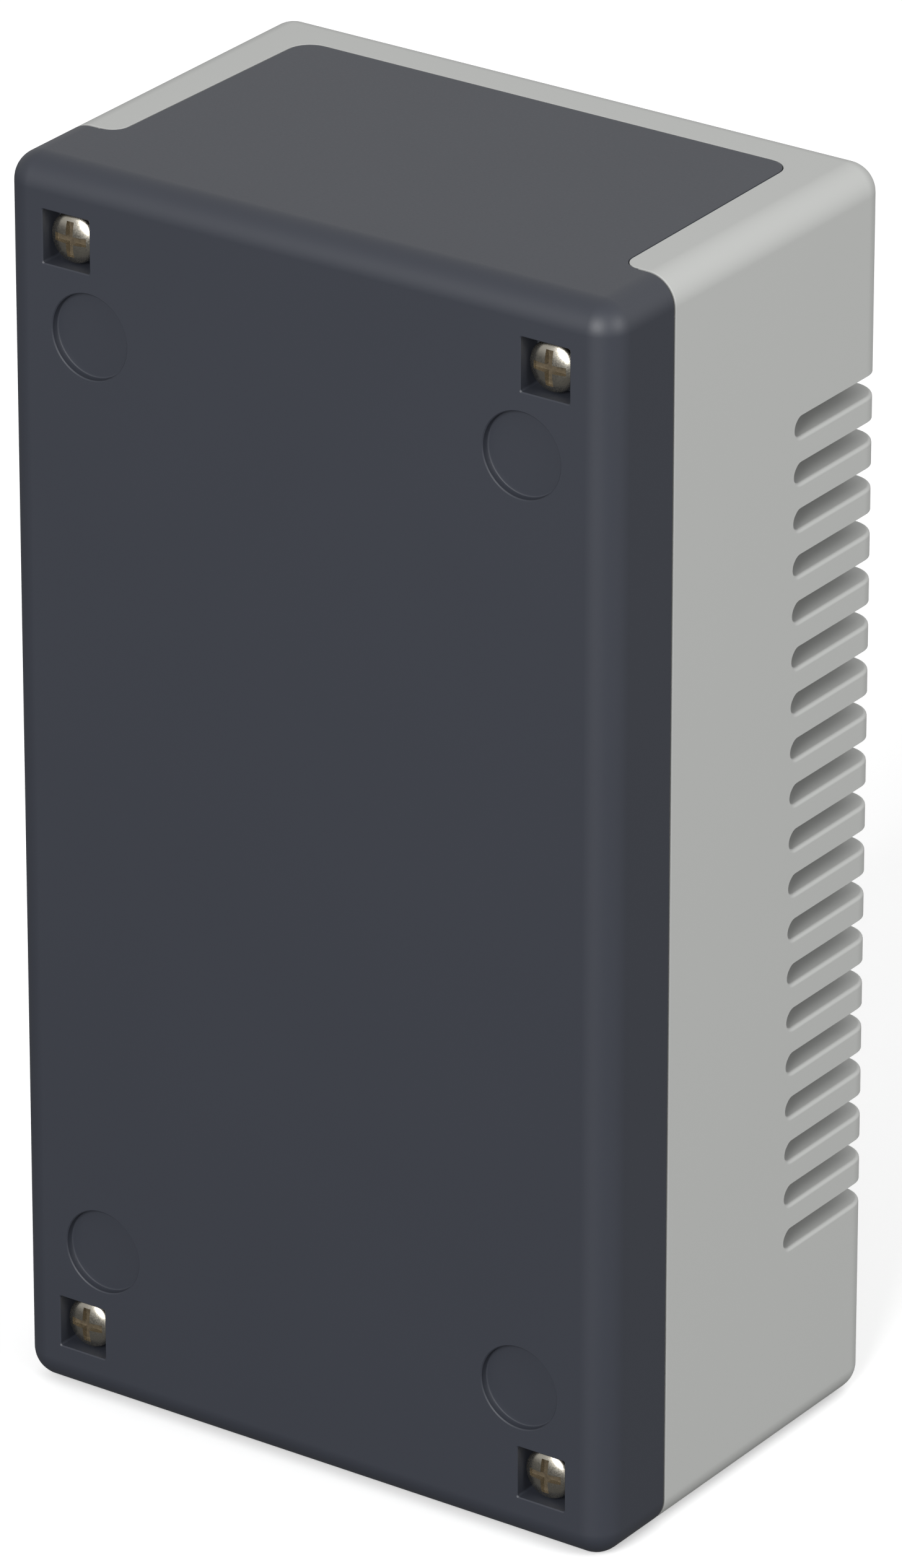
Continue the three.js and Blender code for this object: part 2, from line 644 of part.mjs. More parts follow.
/** X places of a terminal block's poles. */
function poles(x, count) {
  return Array.from({ length: count }, (_, i) => x + (i - (count - 1) / 2) * TERMINAL_PITCH);
}

/** Terminal block: one housing with a clamp well and a wire entry for each pole. */
function terminalBlock(x, count) {
  const top = SEAT + TERMINAL_HEIGHT;
  const z = (TERMINAL_LOW + TERMINAL_TOP) / 2;
  const body = block(x, z, count * TERMINAL_PITCH, TERMINAL_LENGTH, SEAT, top);
  const wells = poles(x, count).flatMap((pole) => [
    rodY(CLAMP_RADIUS + FIT, pole, z, top - TERMINAL_HEIGHT / 2, top + OVER, 14),
    box(
      [pole - WIRE_ENTRY_SIDE / 2, pole + WIRE_ENTRY_SIDE / 2],
      [SEAT + WIRE_ENTRY_RISE, SEAT + WIRE_ENTRY_RISE + WIRE_ENTRY_SIDE],
      [TERMINAL_LOW - OVER, z + WIRE_ENTRY_PAST_CLAMP],
    ),
  ]);
  const edge = box([-WIDTH, WIDTH], [0, TERMINAL_HEIGHT], [0, TERMINAL_HEIGHT])
    .rotate([45, 0, 0])
    .translate([0, top - TERMINAL_CHAMFER, TERMINAL_TOP]);
  return cut(body, [...wells, edge]);
}

/** Slotted clamp screw of a terminal, sunk in its well. */
function clampScrew(pole) {
  const z = (TERMINAL_LOW + TERMINAL_TOP) / 2;
  const top = SEAT + TERMINAL_HEIGHT - FIT;
  const low = SEAT + TERMINAL_HEIGHT / 2 + FIT;
  const slot = block(
    pole, z, CLAMP_RADIUS * 2 + OVER, CLAMP_SLOT_WIDTH, top - CLAMP_SLOT_DEPTH, top + OVER,
  );
  return cut(turnedY([
    [0, low],
    [CLAMP_RADIUS * CLAMP_NECK, low],
    [CLAMP_RADIUS * CLAMP_NECK, top - CLAMP_HEAD],
    [CLAMP_RADIUS, top - CLAMP_HEAD],
    [CLAMP_RADIUS, top - CLAMP_EDGE],
    [CLAMP_RADIUS - CLAMP_EDGE, top],
    [0, top],
  ], pole, z, 14), [slot]);
}

/** Insulating base under the fuse clips. */
function fuseBase() {
  const length = FUSE_LENGTH + 2 * FUSE_BASE_MARGIN;
  const width = 2 * (FUSE_RADIUS + FUSE_BASE_MARGIN);
  return block(FUSE_X, FUSE_Z, length, width, SEAT, SEAT + FUSE_BASE_HEIGHT);
}

/** One U-shaped spring clip of the fuse. */
function fuseClip(x) {
  const inner = FUSE_RADIUS + FIT;
  const outer = inner + CLIP_SHEET;
  const straight = FUSE_Y + FUSE_RADIUS + CLIP_REACH;
  const top = straight + CLIP_FLARE;
  const half = [
    [CLIP_LOW + CLIP_SHEET, inner],
    [straight, inner],
    [top, inner + CLIP_SPREAD],
    [top, outer + CLIP_SPREAD],
    [straight, outer],
    [CLIP_LOW, outer],
  ];
  const other = half.map(([y, z]) => [y, -z]).reverse();
  const shape = outline([...half, ...other].map(([y, z]) => [y, FUSE_Z + z]));
  return prismX(shape, x - CLIP_WIDTH / 2, x + CLIP_WIDTH / 2);
}

/** Cartridge fuse: a tube between two end caps. */
function fuseLink() {
  const half = FUSE_LENGTH / 2;
  return join([
    rodX(FUSE_RADIUS - FUSE_TUBE_STEP, FUSE_Y, FUSE_Z, FUSE_X - half + OVER, FUSE_X + half - OVER),
    rodX(FUSE_RADIUS, FUSE_Y, FUSE_Z, FUSE_X - half, FUSE_X - half + CLIP_WIDTH),
    rodX(FUSE_RADIUS, FUSE_Y, FUSE_Z, FUSE_X + half - CLIP_WIDTH, FUSE_X + half),
  ]);
}

/** Disc varistor standing on its two leads. */
function varistor(x) {
  const y = SEAT + VARISTOR_RADIUS + VARISTOR_RISE;
  const disc = new THREE.CylinderGeometry(VARISTOR_RADIUS, VARISTOR_RADIUS, VARISTOR_THICKNESS, 20);
  disc.rotateX(Math.PI / 2);
  disc.translate(x, y, FUSE_Z);
  const leads = [-0.5, 0.5].map((k) => rodY(
    VARISTOR_LEAD_RADIUS, x + k * VARISTOR_LEAD_SPACING, FUSE_Z, SEAT, y - VARISTOR_LEAD_INTO, 8,
  ));
  return join([solid(disc), ...leads]);
}

// ---------------------------------------------------------------- coils and transformer

/** Ring about a Y axis, with all its faces moved out by a growth. */
function ring(x, grow) {
  const half = TOROID_HEIGHT / 2 + grow;
  const outer = rodY(TOROID_RADIUS + grow, x, COIL_Z, COIL_Y - half, COIL_Y + half, 24);
  const inner = rodY(TOROID_HOLE - grow, x, COIL_Z, COIL_Y - half - OVER, COIL_Y + half + OVER, 24);
  return outer.subtract(inner);
}

/** Winding on a ring core: a sleeve round the ring, kept where a wedge lets it be. */
function ringWinding(x, wedges) {
  const sleeve = ring(x, FIT + WIRE_BUILD).subtract(ring(x, FIT));
  return cut(sleeve, wedges);
}

/** Wedge-shaped cutter about a coil's axis, from one angle to another in degrees. */
function wedge(x, from, to) {
  const reach = 2 * TOROID_RADIUS;
  const steps = 3;
  const points = [[0, 0]];
  for (let i = 0; i <= steps; i += 1) {
    const angle = THREE.MathUtils.degToRad(from + (to - from) * i / steps);
    points.push([reach * Math.cos(angle), reach * Math.sin(angle)]);
  }
  const options = { depth: 2 * TOROID_HEIGHT, bevelEnabled: false };
  const geometry = new THREE.ExtrudeGeometry(outline(points), options);
  geometry.rotateX(-Math.PI / 2);
  geometry.translate(x, COIL_Y - TOROID_HEIGHT, COIL_Z);
  return solid(geometry);
}

/** One E-shaped half of the transformer core, on the side given. */
function coreHalf(side) {
  const half = CORE_HEIGHT / 2;
  const far = CORE_LENGTH / 2;
  const near = FIT / 2;
  const shape = outline([
    [near, -half],
    [far, -half],
    [far, half],
    [near, half],
    [near, half - CORE_LEG],
    [far - CORE_BACK, half - CORE_LEG],
    [far - CORE_BACK, CORE_CENTRE / 2],
    [near, CORE_CENTRE / 2],
    [near, -CORE_CENTRE / 2],
    [far - CORE_BACK, -CORE_CENTRE / 2],
    [far - CORE_BACK, -half + CORE_LEG],
    [near, -half + CORE_LEG],
  ]);
  const body = prismZ(shape, -CORE_THICKNESS / 2, CORE_THICKNESS / 2);
  return (side > 0 ? body : body.rotate([0, 180, 0])).translate([0, CORE_Y, TRANSFORMER_Z]);
}

/** Rectangular sleeve about the transformer's X axis. */
function sleeveX(halfLength, innerY, innerZ, outerY, outerZ) {
  const outer = box([-halfLength, halfLength], [-outerY, outerY], [-outerZ, outerZ]);
  const inner = box([-halfLength - OVER, halfLength + OVER], [-innerY, innerY], [-innerZ, innerZ]);
  return outer.subtract(inner).translate([0, CORE_Y, TRANSFORMER_Z]);
}

/** Bobbin: a square tube with two flanges and feet that stand on the board. */
function bobbin() {
  const flangeAt = WINDOW_HALF - FIT - FLANGE_SHEET / 2;
  const tube = sleeveX(WINDOW_HALF - FIT, TUBE_Y, TUBE_Z, TUBE_Y + BOBBIN_WALL, TUBE_Z + BOBBIN_WALL);
  const flanges = [-1, 1].flatMap((side) => {
    const rim = sleeveX(FLANGE_SHEET / 2, TUBE_Y, TUBE_Z, FLANGE_Y, FLANGE_Z)
      .translate([side * flangeAt, 0, 0]);
    const feet = [-1, 1].map((end) => {
      const z = TRANSFORMER_Z + end * (TUBE_Z + BOBBIN_FOOT / 2 + FIT);
      return block(side * flangeAt, z, FLANGE_SHEET, BOBBIN_FOOT, SEAT, CORE_Y - FLANGE_Y + SINK_IN);
    });
    return [rim, ...feet];
  });
  return join([tube, ...flanges]);
}

/** Windings and tape on the bobbin, as one block. */
function transformerWinding() {
  const clear = BOBBIN_WALL + FIT;
  return sleeveX(
    WINDOW_HALF - FLANGE_SHEET - 2 * FIT,
    TUBE_Y + clear,
    TUBE_Z + clear,
    FLANGE_Y - WINDING_STEP_Y,
    FLANGE_Z - WINDING_STEP_Z,
  );
}

// ---------------------------------------------------------------- capacitors, relay, control board

/** Electrolytic can with a rolled groove near the board and a slightly dished top. */
function canCapacitor(x) {
  const top = SEAT + CAN_HEIGHT;
  const [start, bottom, end] = CAN_GROOVE;
  return turnedY([
    [0, SEAT],
    [CAN_RADIUS - CAN_FOOT_STEP, SEAT],
    [CAN_RADIUS, SEAT + CAN_EDGE],
    [CAN_RADIUS, SEAT + start],
    [CAN_RADIUS - CAN_EDGE, SEAT + bottom],
    [CAN_RADIUS, SEAT + end],
    [CAN_RADIUS, top - CAN_EDGE],
    [CAN_RADIUS - CAN_EDGE, top],
    [CAN_RADIUS - 2 * CAN_EDGE, top - CAN_DISH],
    [0, top - CAN_DISH],
  ], x, CAN_Z);
}

/** Boxed part with softened edges: a film capacitor or the relay. */
function boxedPart(x, z, { width, length, height }) {
  const geometry = new RoundedBoxGeometry(width, height, length, 1, BOXED_EDGE);
  geometry.translate(x, SEAT + height / 2, z);
  return solid(geometry);
}

/** Upright control board. */
function controlBoard() {
  return box(
    [-CONTROL_HALF_WIDTH, CONTROL_HALF_WIDTH],
    [SEAT, SEAT + CONTROL_HEIGHT],
    [CONTROL_Z - BOARD_THICKNESS / 2, CONTROL_Z + BOARD_THICKNESS / 2],
  );
}

/** Microcontroller package with a row of legs on two sides. */
function controlChip() {
  const face = CONTROL_Z + BOARD_THICKNESS / 2 + FIT;
  const y = SEAT + CONTROL_HEIGHT / 2;
  const halfX = CHIP.side / 2;
  const halfY = CHIP.height / 2;
  const reach = halfY + CHIP.legReach;
  const body = box([-halfX, halfX], [y - halfY, y + halfY], [face, face + CHIP.thickness]);
  const legs = [];
  for (let i = 0; i < CHIP.legs; i += 1) {
    const x = (i - (CHIP.legs - 1) / 2) * CHIP.pitch;
    const leg = block(x, face + CHIP_LEG_SHEET / 2, 2 * CHIP.legHalf, CHIP_LEG_SHEET, y - reach, y + reach);
    legs.push(leg);
  }
  return join([body, ...legs]);
}

/** Right-angle header that joins the control board to the main board. */
function controlHeader() {
  const face = CONTROL_Z - BOARD_THICKNESS / 2 - FIT;
  const front = face - HEADER.depth;
  const body = box([-HEADER.width / 2, HEADER.width / 2], [SEAT, SEAT + HEADER.height], [front, face]);
  const rise = SEAT + HEADER.pinRise;
  const pins = [];
  for (let i = 0; i < HEADER.pins; i += 1) {
    const x = (i - (HEADER.pins - 1) / 2) * HEADER.pitch;
    pins.push(box(
      [x - HEADER.pinSide / 2, x + HEADER.pinSide / 2],
      [rise, rise + HEADER.pinSide],
      [front - HEADER_PIN_REACH, front + SINK_IN],
    ));
  }
  return join([body, ...pins]);
}

/** Status light on the control board's upper edge. */
function statusLed() {
  const low = SEAT + CONTROL_HEIGHT + FIT;
  const [shoulder, dome, top] = LED_LEVELS;
  return turnedY([
    [0, low],
    [LED_RADIUS, low],
    [LED_RADIUS, low + shoulder],
    [LED_RADIUS * 2 / 3, low + dome],
    [0, low + top],
  ], 0, CONTROL_Z, 12);
}

// ---------------------------------------------------------------- cooling

/** Extruded heat sink: a plate with fins towards the housing's side, on the side given. */
function heatSink(side) {
  const pitch = (SINK_HEIGHT - FIN_THICKNESS) / (SINK_FIN_COUNT - 1);
  const root = SINK_INNER_X + SINK_PLATE;
  const edge = root + SINK_FIN;
  const points = [[SINK_INNER_X, SEAT]];
  for (let i = 0; i < SINK_FIN_COUNT; i += 1) {
    const y = SEAT + i * pitch;
    points.push([root, y]);
    points.push([edge, y + FIN_TAPER]);
    points.push([edge, y + FIN_THICKNESS - FIN_TAPER]);
    points.push([root, y + FIN_THICKNESS]);
  }
  points.push([SINK_INNER_X, SEAT + SINK_HEIGHT]);
  const body = prismZ(outline(points), SINK_LOW, SINK_LOW + SINK_LENGTH);
  const placed = side > 0 ? body : body.rotate([0, 180, 0]).translate([0, 0, 2 * SINK_LOW + SINK_LENGTH]);
  const holes = TRANSISTOR_PLACES.map((z) => {
    const ends = [side * (SINK_INNER_X - OVER), side * (edge + OVER)];
    return rodX(TRANSISTOR_SCREW_RADIUS + FIT, TRANSISTOR_HOLE_Y, z, Math.min(...ends), Math.max(...ends));
  });
  return cut(placed, holes);
}

/** Power transistor against a heat sink, with three legs down to the board. */
function transistor(side, z) {
  const back = SINK_INNER_X - FIT;
  const front = back - TRANSISTOR_THICKNESS;
  const low = SEAT + TRANSISTOR_RISE;
  const middle = (front + back) / 2;
  const body = block(middle, 0, TRANSISTOR_THICKNESS, TRANSISTOR_WIDTH, low, low + TRANSISTOR_HEIGHT);
  const legs = [-LEG_PITCH, 0, LEG_PITCH].map((dz) => box(
    [back - LEG_FROM_BACK - LEG_SHEET, back - LEG_FROM_BACK],
    [SEAT, low + SINK_IN],
    [dz - LEG_HALF_WIDTH, dz + LEG_HALF_WIDTH],
  ));
  const hole = rodX(TRANSISTOR_SCREW_RADIUS + FIT, TRANSISTOR_HOLE_Y, 0, front - OVER, back + OVER);
  const whole = cut(join([body, ...legs]), [hole]);
  return (side > 0 ? whole : whole.rotate([0, 180, 0])).translate([0, 0, z]);
}

/** Screw that clamps a transistor to its heat sink. */
function transistorScrew(side, z) {
  const rest = SINK_INNER_X - 2 * FIT - TRANSISTOR_THICKNESS;
  const head = TRANSISTOR_SCREW_RADIUS * PAN_HEAD;
  const tip = -SINK_PLATE - TRANSISTOR_THICKNESS - TRANSISTOR_SCREW_PAST;
  const geometry = new THREE.LatheGeometry([
    [0, tip],
    [TRANSISTOR_SCREW_RADIUS, tip],
    [TRANSISTOR_SCREW_RADIUS, 0],
    [head, 0],
    [head, TRANSISTOR_SCREW_RIM],
    [head * PAN_CROWN, TRANSISTOR_SCREW_RISE],
    [0, TRANSISTOR_SCREW_RISE],
  ].map(([r, y]) => new THREE.Vector2(r, y)), 10);
  geometry.rotateZ(Math.PI / 2);
  const body = solid(geometry).translate([rest, TRANSISTOR_HOLE_Y, 0]);
  return (side > 0 ? body : body.rotate([0, 180, 0])).translate([0, 0, z]);
}

// ---------------------------------------------------------------- assembly

addPiece('base_shell', baseShell(), 'graphite');
addPiece('cover_shell', coverShell(), 'lightGrey');
for (const [name, x, z] of SCREW_PLACES) {
  addPiece(`case_screw_${name}`, caseScrew(x, z), 'nickel');
}
addPiece('dc_grommet', grommet(DC_X), 'rubber');
addPiece('ac_grommet', grommet(AC_X), 'rubber');
addPiece('light_guide', lightGuide(), 'clear');

addPiece('main_board', mainBoard(), 'laminate');
BOARD_SCREW_PLACES.forEach(([x, z], i) => {
  const screw = panScrew(BOARD_SCREW_RADIUS, x, z, BOARD_TOP + FIT, BOARD_SCREW_LENGTH);
  addPiece(`board_screw_${i + 1}`, screw, 'zinc');
});

addPiece('dc_terminal_block', terminalBlock(DC_X, 2), 'nylonGreen');
addPiece('ac_terminal_block', terminalBlock(AC_X, 3), 'nylonGreen');
poles(DC_X, 2).forEach((pole, i) => addPiece(`dc_clamp_screw_${i + 1}`, clampScrew(pole), 'nickel'));
poles(AC_X, 3).forEach((pole, i) => addPiece(`ac_clamp_screw_${i + 1}`, clampScrew(pole), 'nickel'));

addPiece('fuse_base', fuseBase(), 'nylonBlack');
const clipReach = FUSE_LENGTH / 2 - CLIP_WIDTH / 2;
addPiece('fuse_clip_left', fuseClip(FUSE_X - clipReach), 'bronze');
addPiece('fuse_clip_right', fuseClip(FUSE_X + clipReach), 'bronze');
addPiece('fuse_link', fuseLink(), 'glass');
addPiece('surge_varistor', varistor(0), 'varistorBlue');

addPiece('dc_choke_core', ring(-COIL_X, 0), 'ferrite');
const quarter = 90 + CHOKE_SPLIT;
const leftHalf = [wedge(-COIL_X, -quarter, 0), wedge(-COIL_X, 0, quarter)];
const rightHalf = [wedge(-COIL_X, 180 - quarter, 180), wedge(-COIL_X, 180, 180 + quarter)];
const leads = [wedge(COIL_X, 90 - INDUCTOR_SPLIT, 90 + INDUCTOR_SPLIT)];
addPiece('dc_choke_winding_left', ringWinding(-COIL_X, leftHalf), 'enamelWire');
addPiece('dc_choke_winding_right', ringWinding(-COIL_X, rightHalf), 'enamelWire');
addPiece('output_inductor_core', ring(COIL_X, 0), 'ferrite');
addPiece('output_inductor_winding', ringWinding(COIL_X, leads), 'enamelWire');

[-1, 0, 1].forEach((k, i) => {
  addPiece(`bulk_capacitor_${i + 1}`, canCapacitor(k * CAN_SPACING), 'sleeve');
});
[-1, 1].forEach((side) => {
  const name = side < 0 ? 'left' : 'right';
  addPiece(`heat_sink_${name}`, heatSink(side), 'anodised');
  TRANSISTOR_PLACES.forEach((z, i) => {
    const number = (side < 0 ? 1 : 3) + i;
    addPiece(`power_transistor_${number}`, transistor(side, z), 'epoxy');
    addPiece(`transistor_screw_${number}`, transistorScrew(side, z), 'zinc');
  });
});

addPiece('transformer_core_left', coreHalf(-1), 'ferrite');
addPiece('transformer_core_right', coreHalf(1), 'ferrite');
addPiece('transformer_bobbin', bobbin(), 'bobbin');
addPiece('transformer_winding', transformerWinding(), 'tape');

[-0.5, 0.5].forEach((k, i) => {
  const z = COIL_Z + FILM.offset + k * FILM.spacing;
  addPiece(`film_capacitor_${i + 1}`, boxedPart(0, z, FILM), 'filmYellow');
});
addPiece('grid_relay', boxedPart(COIL_X, FUSE_Z, RELAY), 'relayWhite');

addPiece('control_board', controlBoard(), 'laminate');
addPiece('control_chip', controlChip(), 'epoxy');
addPiece('control_header', controlHeader(), 'nylonBlack');
addPiece('status_led', statusLed(), 'clear');

export default inverter;
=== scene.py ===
"""Looks of a small ventilated inverter: two moulded shells, their screws and the electronics inside.

Shapes are worked out in millimetres in the part's own frame and turned to metres when a mesh is made.
Sizes that are held in a class are in millimetres too; those of the studio are in metres.
"""
import json
import logging
import math
from dataclasses import dataclass, field
from enum import Enum
from functools import cache

import bmesh
import bpy
import numpy as np
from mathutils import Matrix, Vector

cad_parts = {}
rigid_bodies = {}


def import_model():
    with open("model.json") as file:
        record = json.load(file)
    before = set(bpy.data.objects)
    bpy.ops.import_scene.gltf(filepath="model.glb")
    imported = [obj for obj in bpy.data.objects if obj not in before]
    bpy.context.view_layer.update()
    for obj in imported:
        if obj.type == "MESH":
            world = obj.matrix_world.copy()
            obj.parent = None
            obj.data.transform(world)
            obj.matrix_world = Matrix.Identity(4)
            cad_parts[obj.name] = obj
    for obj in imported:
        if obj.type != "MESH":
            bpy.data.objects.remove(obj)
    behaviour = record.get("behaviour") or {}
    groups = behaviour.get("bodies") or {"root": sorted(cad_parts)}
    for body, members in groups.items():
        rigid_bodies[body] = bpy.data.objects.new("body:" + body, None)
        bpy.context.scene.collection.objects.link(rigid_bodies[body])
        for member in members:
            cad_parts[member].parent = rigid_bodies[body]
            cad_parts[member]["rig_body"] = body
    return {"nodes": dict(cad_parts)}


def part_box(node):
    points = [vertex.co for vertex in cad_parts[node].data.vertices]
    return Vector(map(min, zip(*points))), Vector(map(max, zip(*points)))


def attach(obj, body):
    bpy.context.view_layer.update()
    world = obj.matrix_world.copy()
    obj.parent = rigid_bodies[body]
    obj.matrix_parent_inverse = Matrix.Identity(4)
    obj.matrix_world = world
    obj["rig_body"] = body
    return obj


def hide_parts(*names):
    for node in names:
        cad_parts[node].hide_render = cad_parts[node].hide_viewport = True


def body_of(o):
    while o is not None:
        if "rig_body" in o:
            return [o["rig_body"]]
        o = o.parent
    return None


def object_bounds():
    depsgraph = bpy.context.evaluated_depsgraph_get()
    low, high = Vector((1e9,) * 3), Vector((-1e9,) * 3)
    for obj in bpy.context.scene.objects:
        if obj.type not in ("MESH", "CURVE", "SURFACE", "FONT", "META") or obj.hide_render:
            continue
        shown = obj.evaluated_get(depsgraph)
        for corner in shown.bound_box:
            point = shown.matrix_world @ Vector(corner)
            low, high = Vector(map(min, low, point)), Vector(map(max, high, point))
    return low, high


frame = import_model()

CAD_BOX = [list(corner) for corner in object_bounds()]
LOG = logging.getLogger("inverter")
MM = 0.001
Piece = bpy.types.Object
Material = bpy.types.Material
Profile = list[tuple[float, float]]


# ------------------------------------------------------------------ numbers and meshes


class Axis(Enum):
    """Direction that an outline is carried along."""

    X = 0
    Y = 1
    Z = 2


class Cut(Enum):
    """What a second body does to the first."""

    TAKE = "DIFFERENCE"
    ADD = "UNION"


def linear(colour: str) -> tuple[float, float, float, float]:
    """Turns an sRGB hex colour to linear values.

    Args:
        colour: six hex digits after a hash.

    Returns:
        Red, green, blue and an alpha of one.
    """
    parts = [int(colour[i:i + 2], 16) / 255 for i in (1, 3, 5)]
    curve = [p / 12.92 if p <= 0.04045 else ((p + 0.055) / 1.055) ** 2.4 for p in parts]
    return (curve[0], curve[1], curve[2], 1.0)


def node_box(node: str) -> np.ndarray:
    """Box of a CAD node in millimetres, as two rows: lowest and highest corner."""
    low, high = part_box(node)
    return np.array([list(low), list(high)]) / MM


@dataclass
class Body:
    """Points in millimetres and the faces between them."""

    points: np.ndarray
    faces: list[list[int]]

    def turned_to(self, first: tuple, second: tuple, third: tuple) -> "Body":
        """The same body with its X, Y and Z directions laid along three others of unit length."""
        return Body(self.points @ np.array([first, second, third], dtype=float), self.faces)

    def moved(self, x: float = 0.0, y: float = 0.0, z: float = 0.0) -> "Body":
        """The same body, shifted."""
        return Body(self.points + np.array([x, y, z]), self.faces)

    def mirrored_x(self) -> "Body":
        """The body on the other side of the YZ plane, with its faces turned to look outwards again."""
        return Body(self.points * np.array([-1.0, 1.0, 1.0]), [face[::-1] for face in self.faces])


def middle_of(node: str) -> np.ndarray:
    """Middle of a CAD node's box in millimetres."""
    return node_box(node).mean(axis=0)


def boxed(node: str) -> tuple[float, float, float, float, float, float]:
    """Lowest x, y, z and highest x, y, z of a CAD node in millimetres."""
    low, high = node_box(node).tolist()
    return (*low, *high)


def gather(bodies: list[Body]) -> Body:
    """Puts separate bodies into one.

    Args:
        bodies: the bodies.

    Returns:
        One body that holds all their points and faces.
    """
    faces: list[list[int]] = []
    start = 0
    for body in bodies:
        faces += [[index + start for index in face] for face in body.faces]
        start += len(body.points)
    return Body(np.vstack([body.points for body in bodies]), faces)


def loft(rings: np.ndarray, ends: bool = True, ring_closed: bool = True, loop: bool = False) -> Body:
    """Skins a stack of rings: point (i, j) is joined to (i, j+1), (i+1, j+1) and (i+1, j).

    Args:
        rings: array of shape (rings, points, 3).
        ends: whether the first and last rings are filled.
        ring_closed: whether the last point of a ring joins its first.
        loop: whether the last ring joins the first.

    Returns:
        The skinned body.
    """
    count, size = rings.shape[:2]
    rows = np.arange(count if loop else count - 1)[:, None]
    columns = np.arange(size if ring_closed else size - 1)[None, :]
    below = rows * size
    above = (rows + 1) % count * size
    after = (columns + 1) % size
    quads = np.stack([below + columns, below + after, above + after, above + columns], axis=-1)
    faces = quads.reshape(-1, 4).tolist()
    if ends:
        faces.append(list(range(size))[::-1])
        faces.append(list(range((count - 1) * size, count * size)))
    return Body(rings.reshape(-1, 3), faces)


def carried(outline: np.ndarray, axis: Axis, levels: list[float]) -> Body:
    """Carries a flat outline along an axis; the two other axes keep their cyclic order.

    Args:
        outline: array of shape (points, 2).
        axis: direction of travel.
        levels: places along the axis, in order.

    Returns:
        A prism.
    """
    first, second = (axis.value + 1) % 3, (axis.value + 2) % 3
    rings = np.zeros((len(levels), len(outline), 3))
    rings[:, :, first] = outline[None, :, 0]
    rings[:, :, second] = outline[None, :, 1]
    rings[:, :, axis.value] = np.array(levels)[:, None]
    return loft(rings)


def block(low: tuple[float, float, float], high: tuple[float, float, float]) -> Body:
    """Box between two corners."""
    outline = np.array([[low[0], low[1]], [high[0], low[1]], [high[0], high[1]], [low[0], high[1]]])
    return carried(outline, Axis.Z, [low[2], high[2]])


def turned(profile: Profile, axis: Axis, centre: tuple[float, float, float], sides: int = 48) -> Body:
    """Turns (radius, height) points about an axis: the ring at each point is a circle of that radius.

    Args:
        profile: points from one end to the other; the end points are filled if they are off the axis.
        axis: direction of the turning axis.
        centre: a point on the axis that heights are measured from.
        sides: points round.

    Returns:
        The turned body.
    """
    angle = np.linspace(0, 2 * math.pi, sides, endpoint=False)
    radius = np.array([max(r, 1e-3) for r, _ in profile])
    height = np.array([h for _, h in profile])
    first, second = (axis.value + 1) % 3, (axis.value + 2) % 3
    rings = np.zeros((len(profile), sides, 3))
    rings[:, :, first] = radius[:, None] * np.cos(angle)[None, :]
    rings[:, :, second] = radius[:, None] * np.sin(angle)[None, :]
    rings[:, :, axis.value] = height[:, None]
    return loft(rings + np.array(centre))


def rounded_rectangle(half_u: float, half_v: float, radius: float, steps: int = 10) -> np.ndarray:
    """Outline of a rectangle whose corners are quarter circles.

    Args:
        half_u: half the size along the first direction.
        half_v: half the size along the second direction.
        radius: corner radius.
        steps: segments in a corner.

    Returns:
        Array of shape (4 * (steps + 1), 2), anticlockwise.
    """
    quarter = np.linspace(0, math.pi / 2, steps + 1)
    angle = (np.arange(4)[:, None] * math.pi / 2 + quarter[None, :]).ravel()
    sign_u = np.repeat([1, -1, -1, 1], steps + 1)
    sign_v = np.repeat([1, 1, -1, -1], steps + 1)
    u = sign_u * (half_u - radius) + radius * np.cos(angle)
    v = sign_v * (half_v - radius) + radius * np.sin(angle)
    return np.stack([u, v], axis=1)


def across(axis: Axis, level: float, flat: np.ndarray) -> np.ndarray:
    """Flat outline laid across an axis at a level; its columns take the two other axes in their order."""
    return np.insert(flat, axis.value, level, axis=1)


def stacked(axis: Axis, centre: tuple[float, float], sections: list[tuple[float, float, float, float]],
            steps: int) -> Body:
    """Skins rounded rectangles that lie across an axis.

    Args:
        axis: direction that they are stacked along.
        centre: their middle on the two other axes, in the order of those axes.
        sections: level, two half sizes and corner radius of each.
        steps: segments in a corner.

    Returns:
        The skinned body.
    """
    return loft(np.array([across(axis, level, rounded_rectangle(half_u, half_v, radius, steps) + centre)
                          for level, half_u, half_v, radius in sections]))


def slab(node: str, levels: list[float], corner: float, steps: int) -> Body:
    """Plate with round corners, as wide and as long as a CAD node, carried along Y.

    Args:
        node: the CAD node.
        levels: places along Y, in order.
        corner: corner radius.
        steps: segments in a corner.

    Returns:
        The plate.
    """
    x0, _, z0, x1, _, z1 = boxed(node)
    flat = rounded_rectangle((x1 - x0) / 2, (z1 - z0) / 2, corner, steps) + ((x0 + x1) / 2, (z0 + z1) / 2)
    return carried(flat[:, ::-1], Axis.Y, levels)


def spiral(levels: np.ndarray, pitch: float, sides: int, way: int = -1) -> np.ndarray:
    """Share of a turn since a thread's last root: level over pitch, plus or less the turn so far.

    Args:
        levels: places along the screw.
        pitch: rise of the thread in one turn.
        sides: points round.
        way: 1 or -1, which way the thread winds.

    Returns:
        Array of shape (levels, sides), from 0 to 1.
    """
    angle = np.linspace(0, 2 * math.pi, sides, endpoint=False)
    return (levels[:, None] / pitch + way * angle[None, :] / (2 * math.pi)) % 1.0


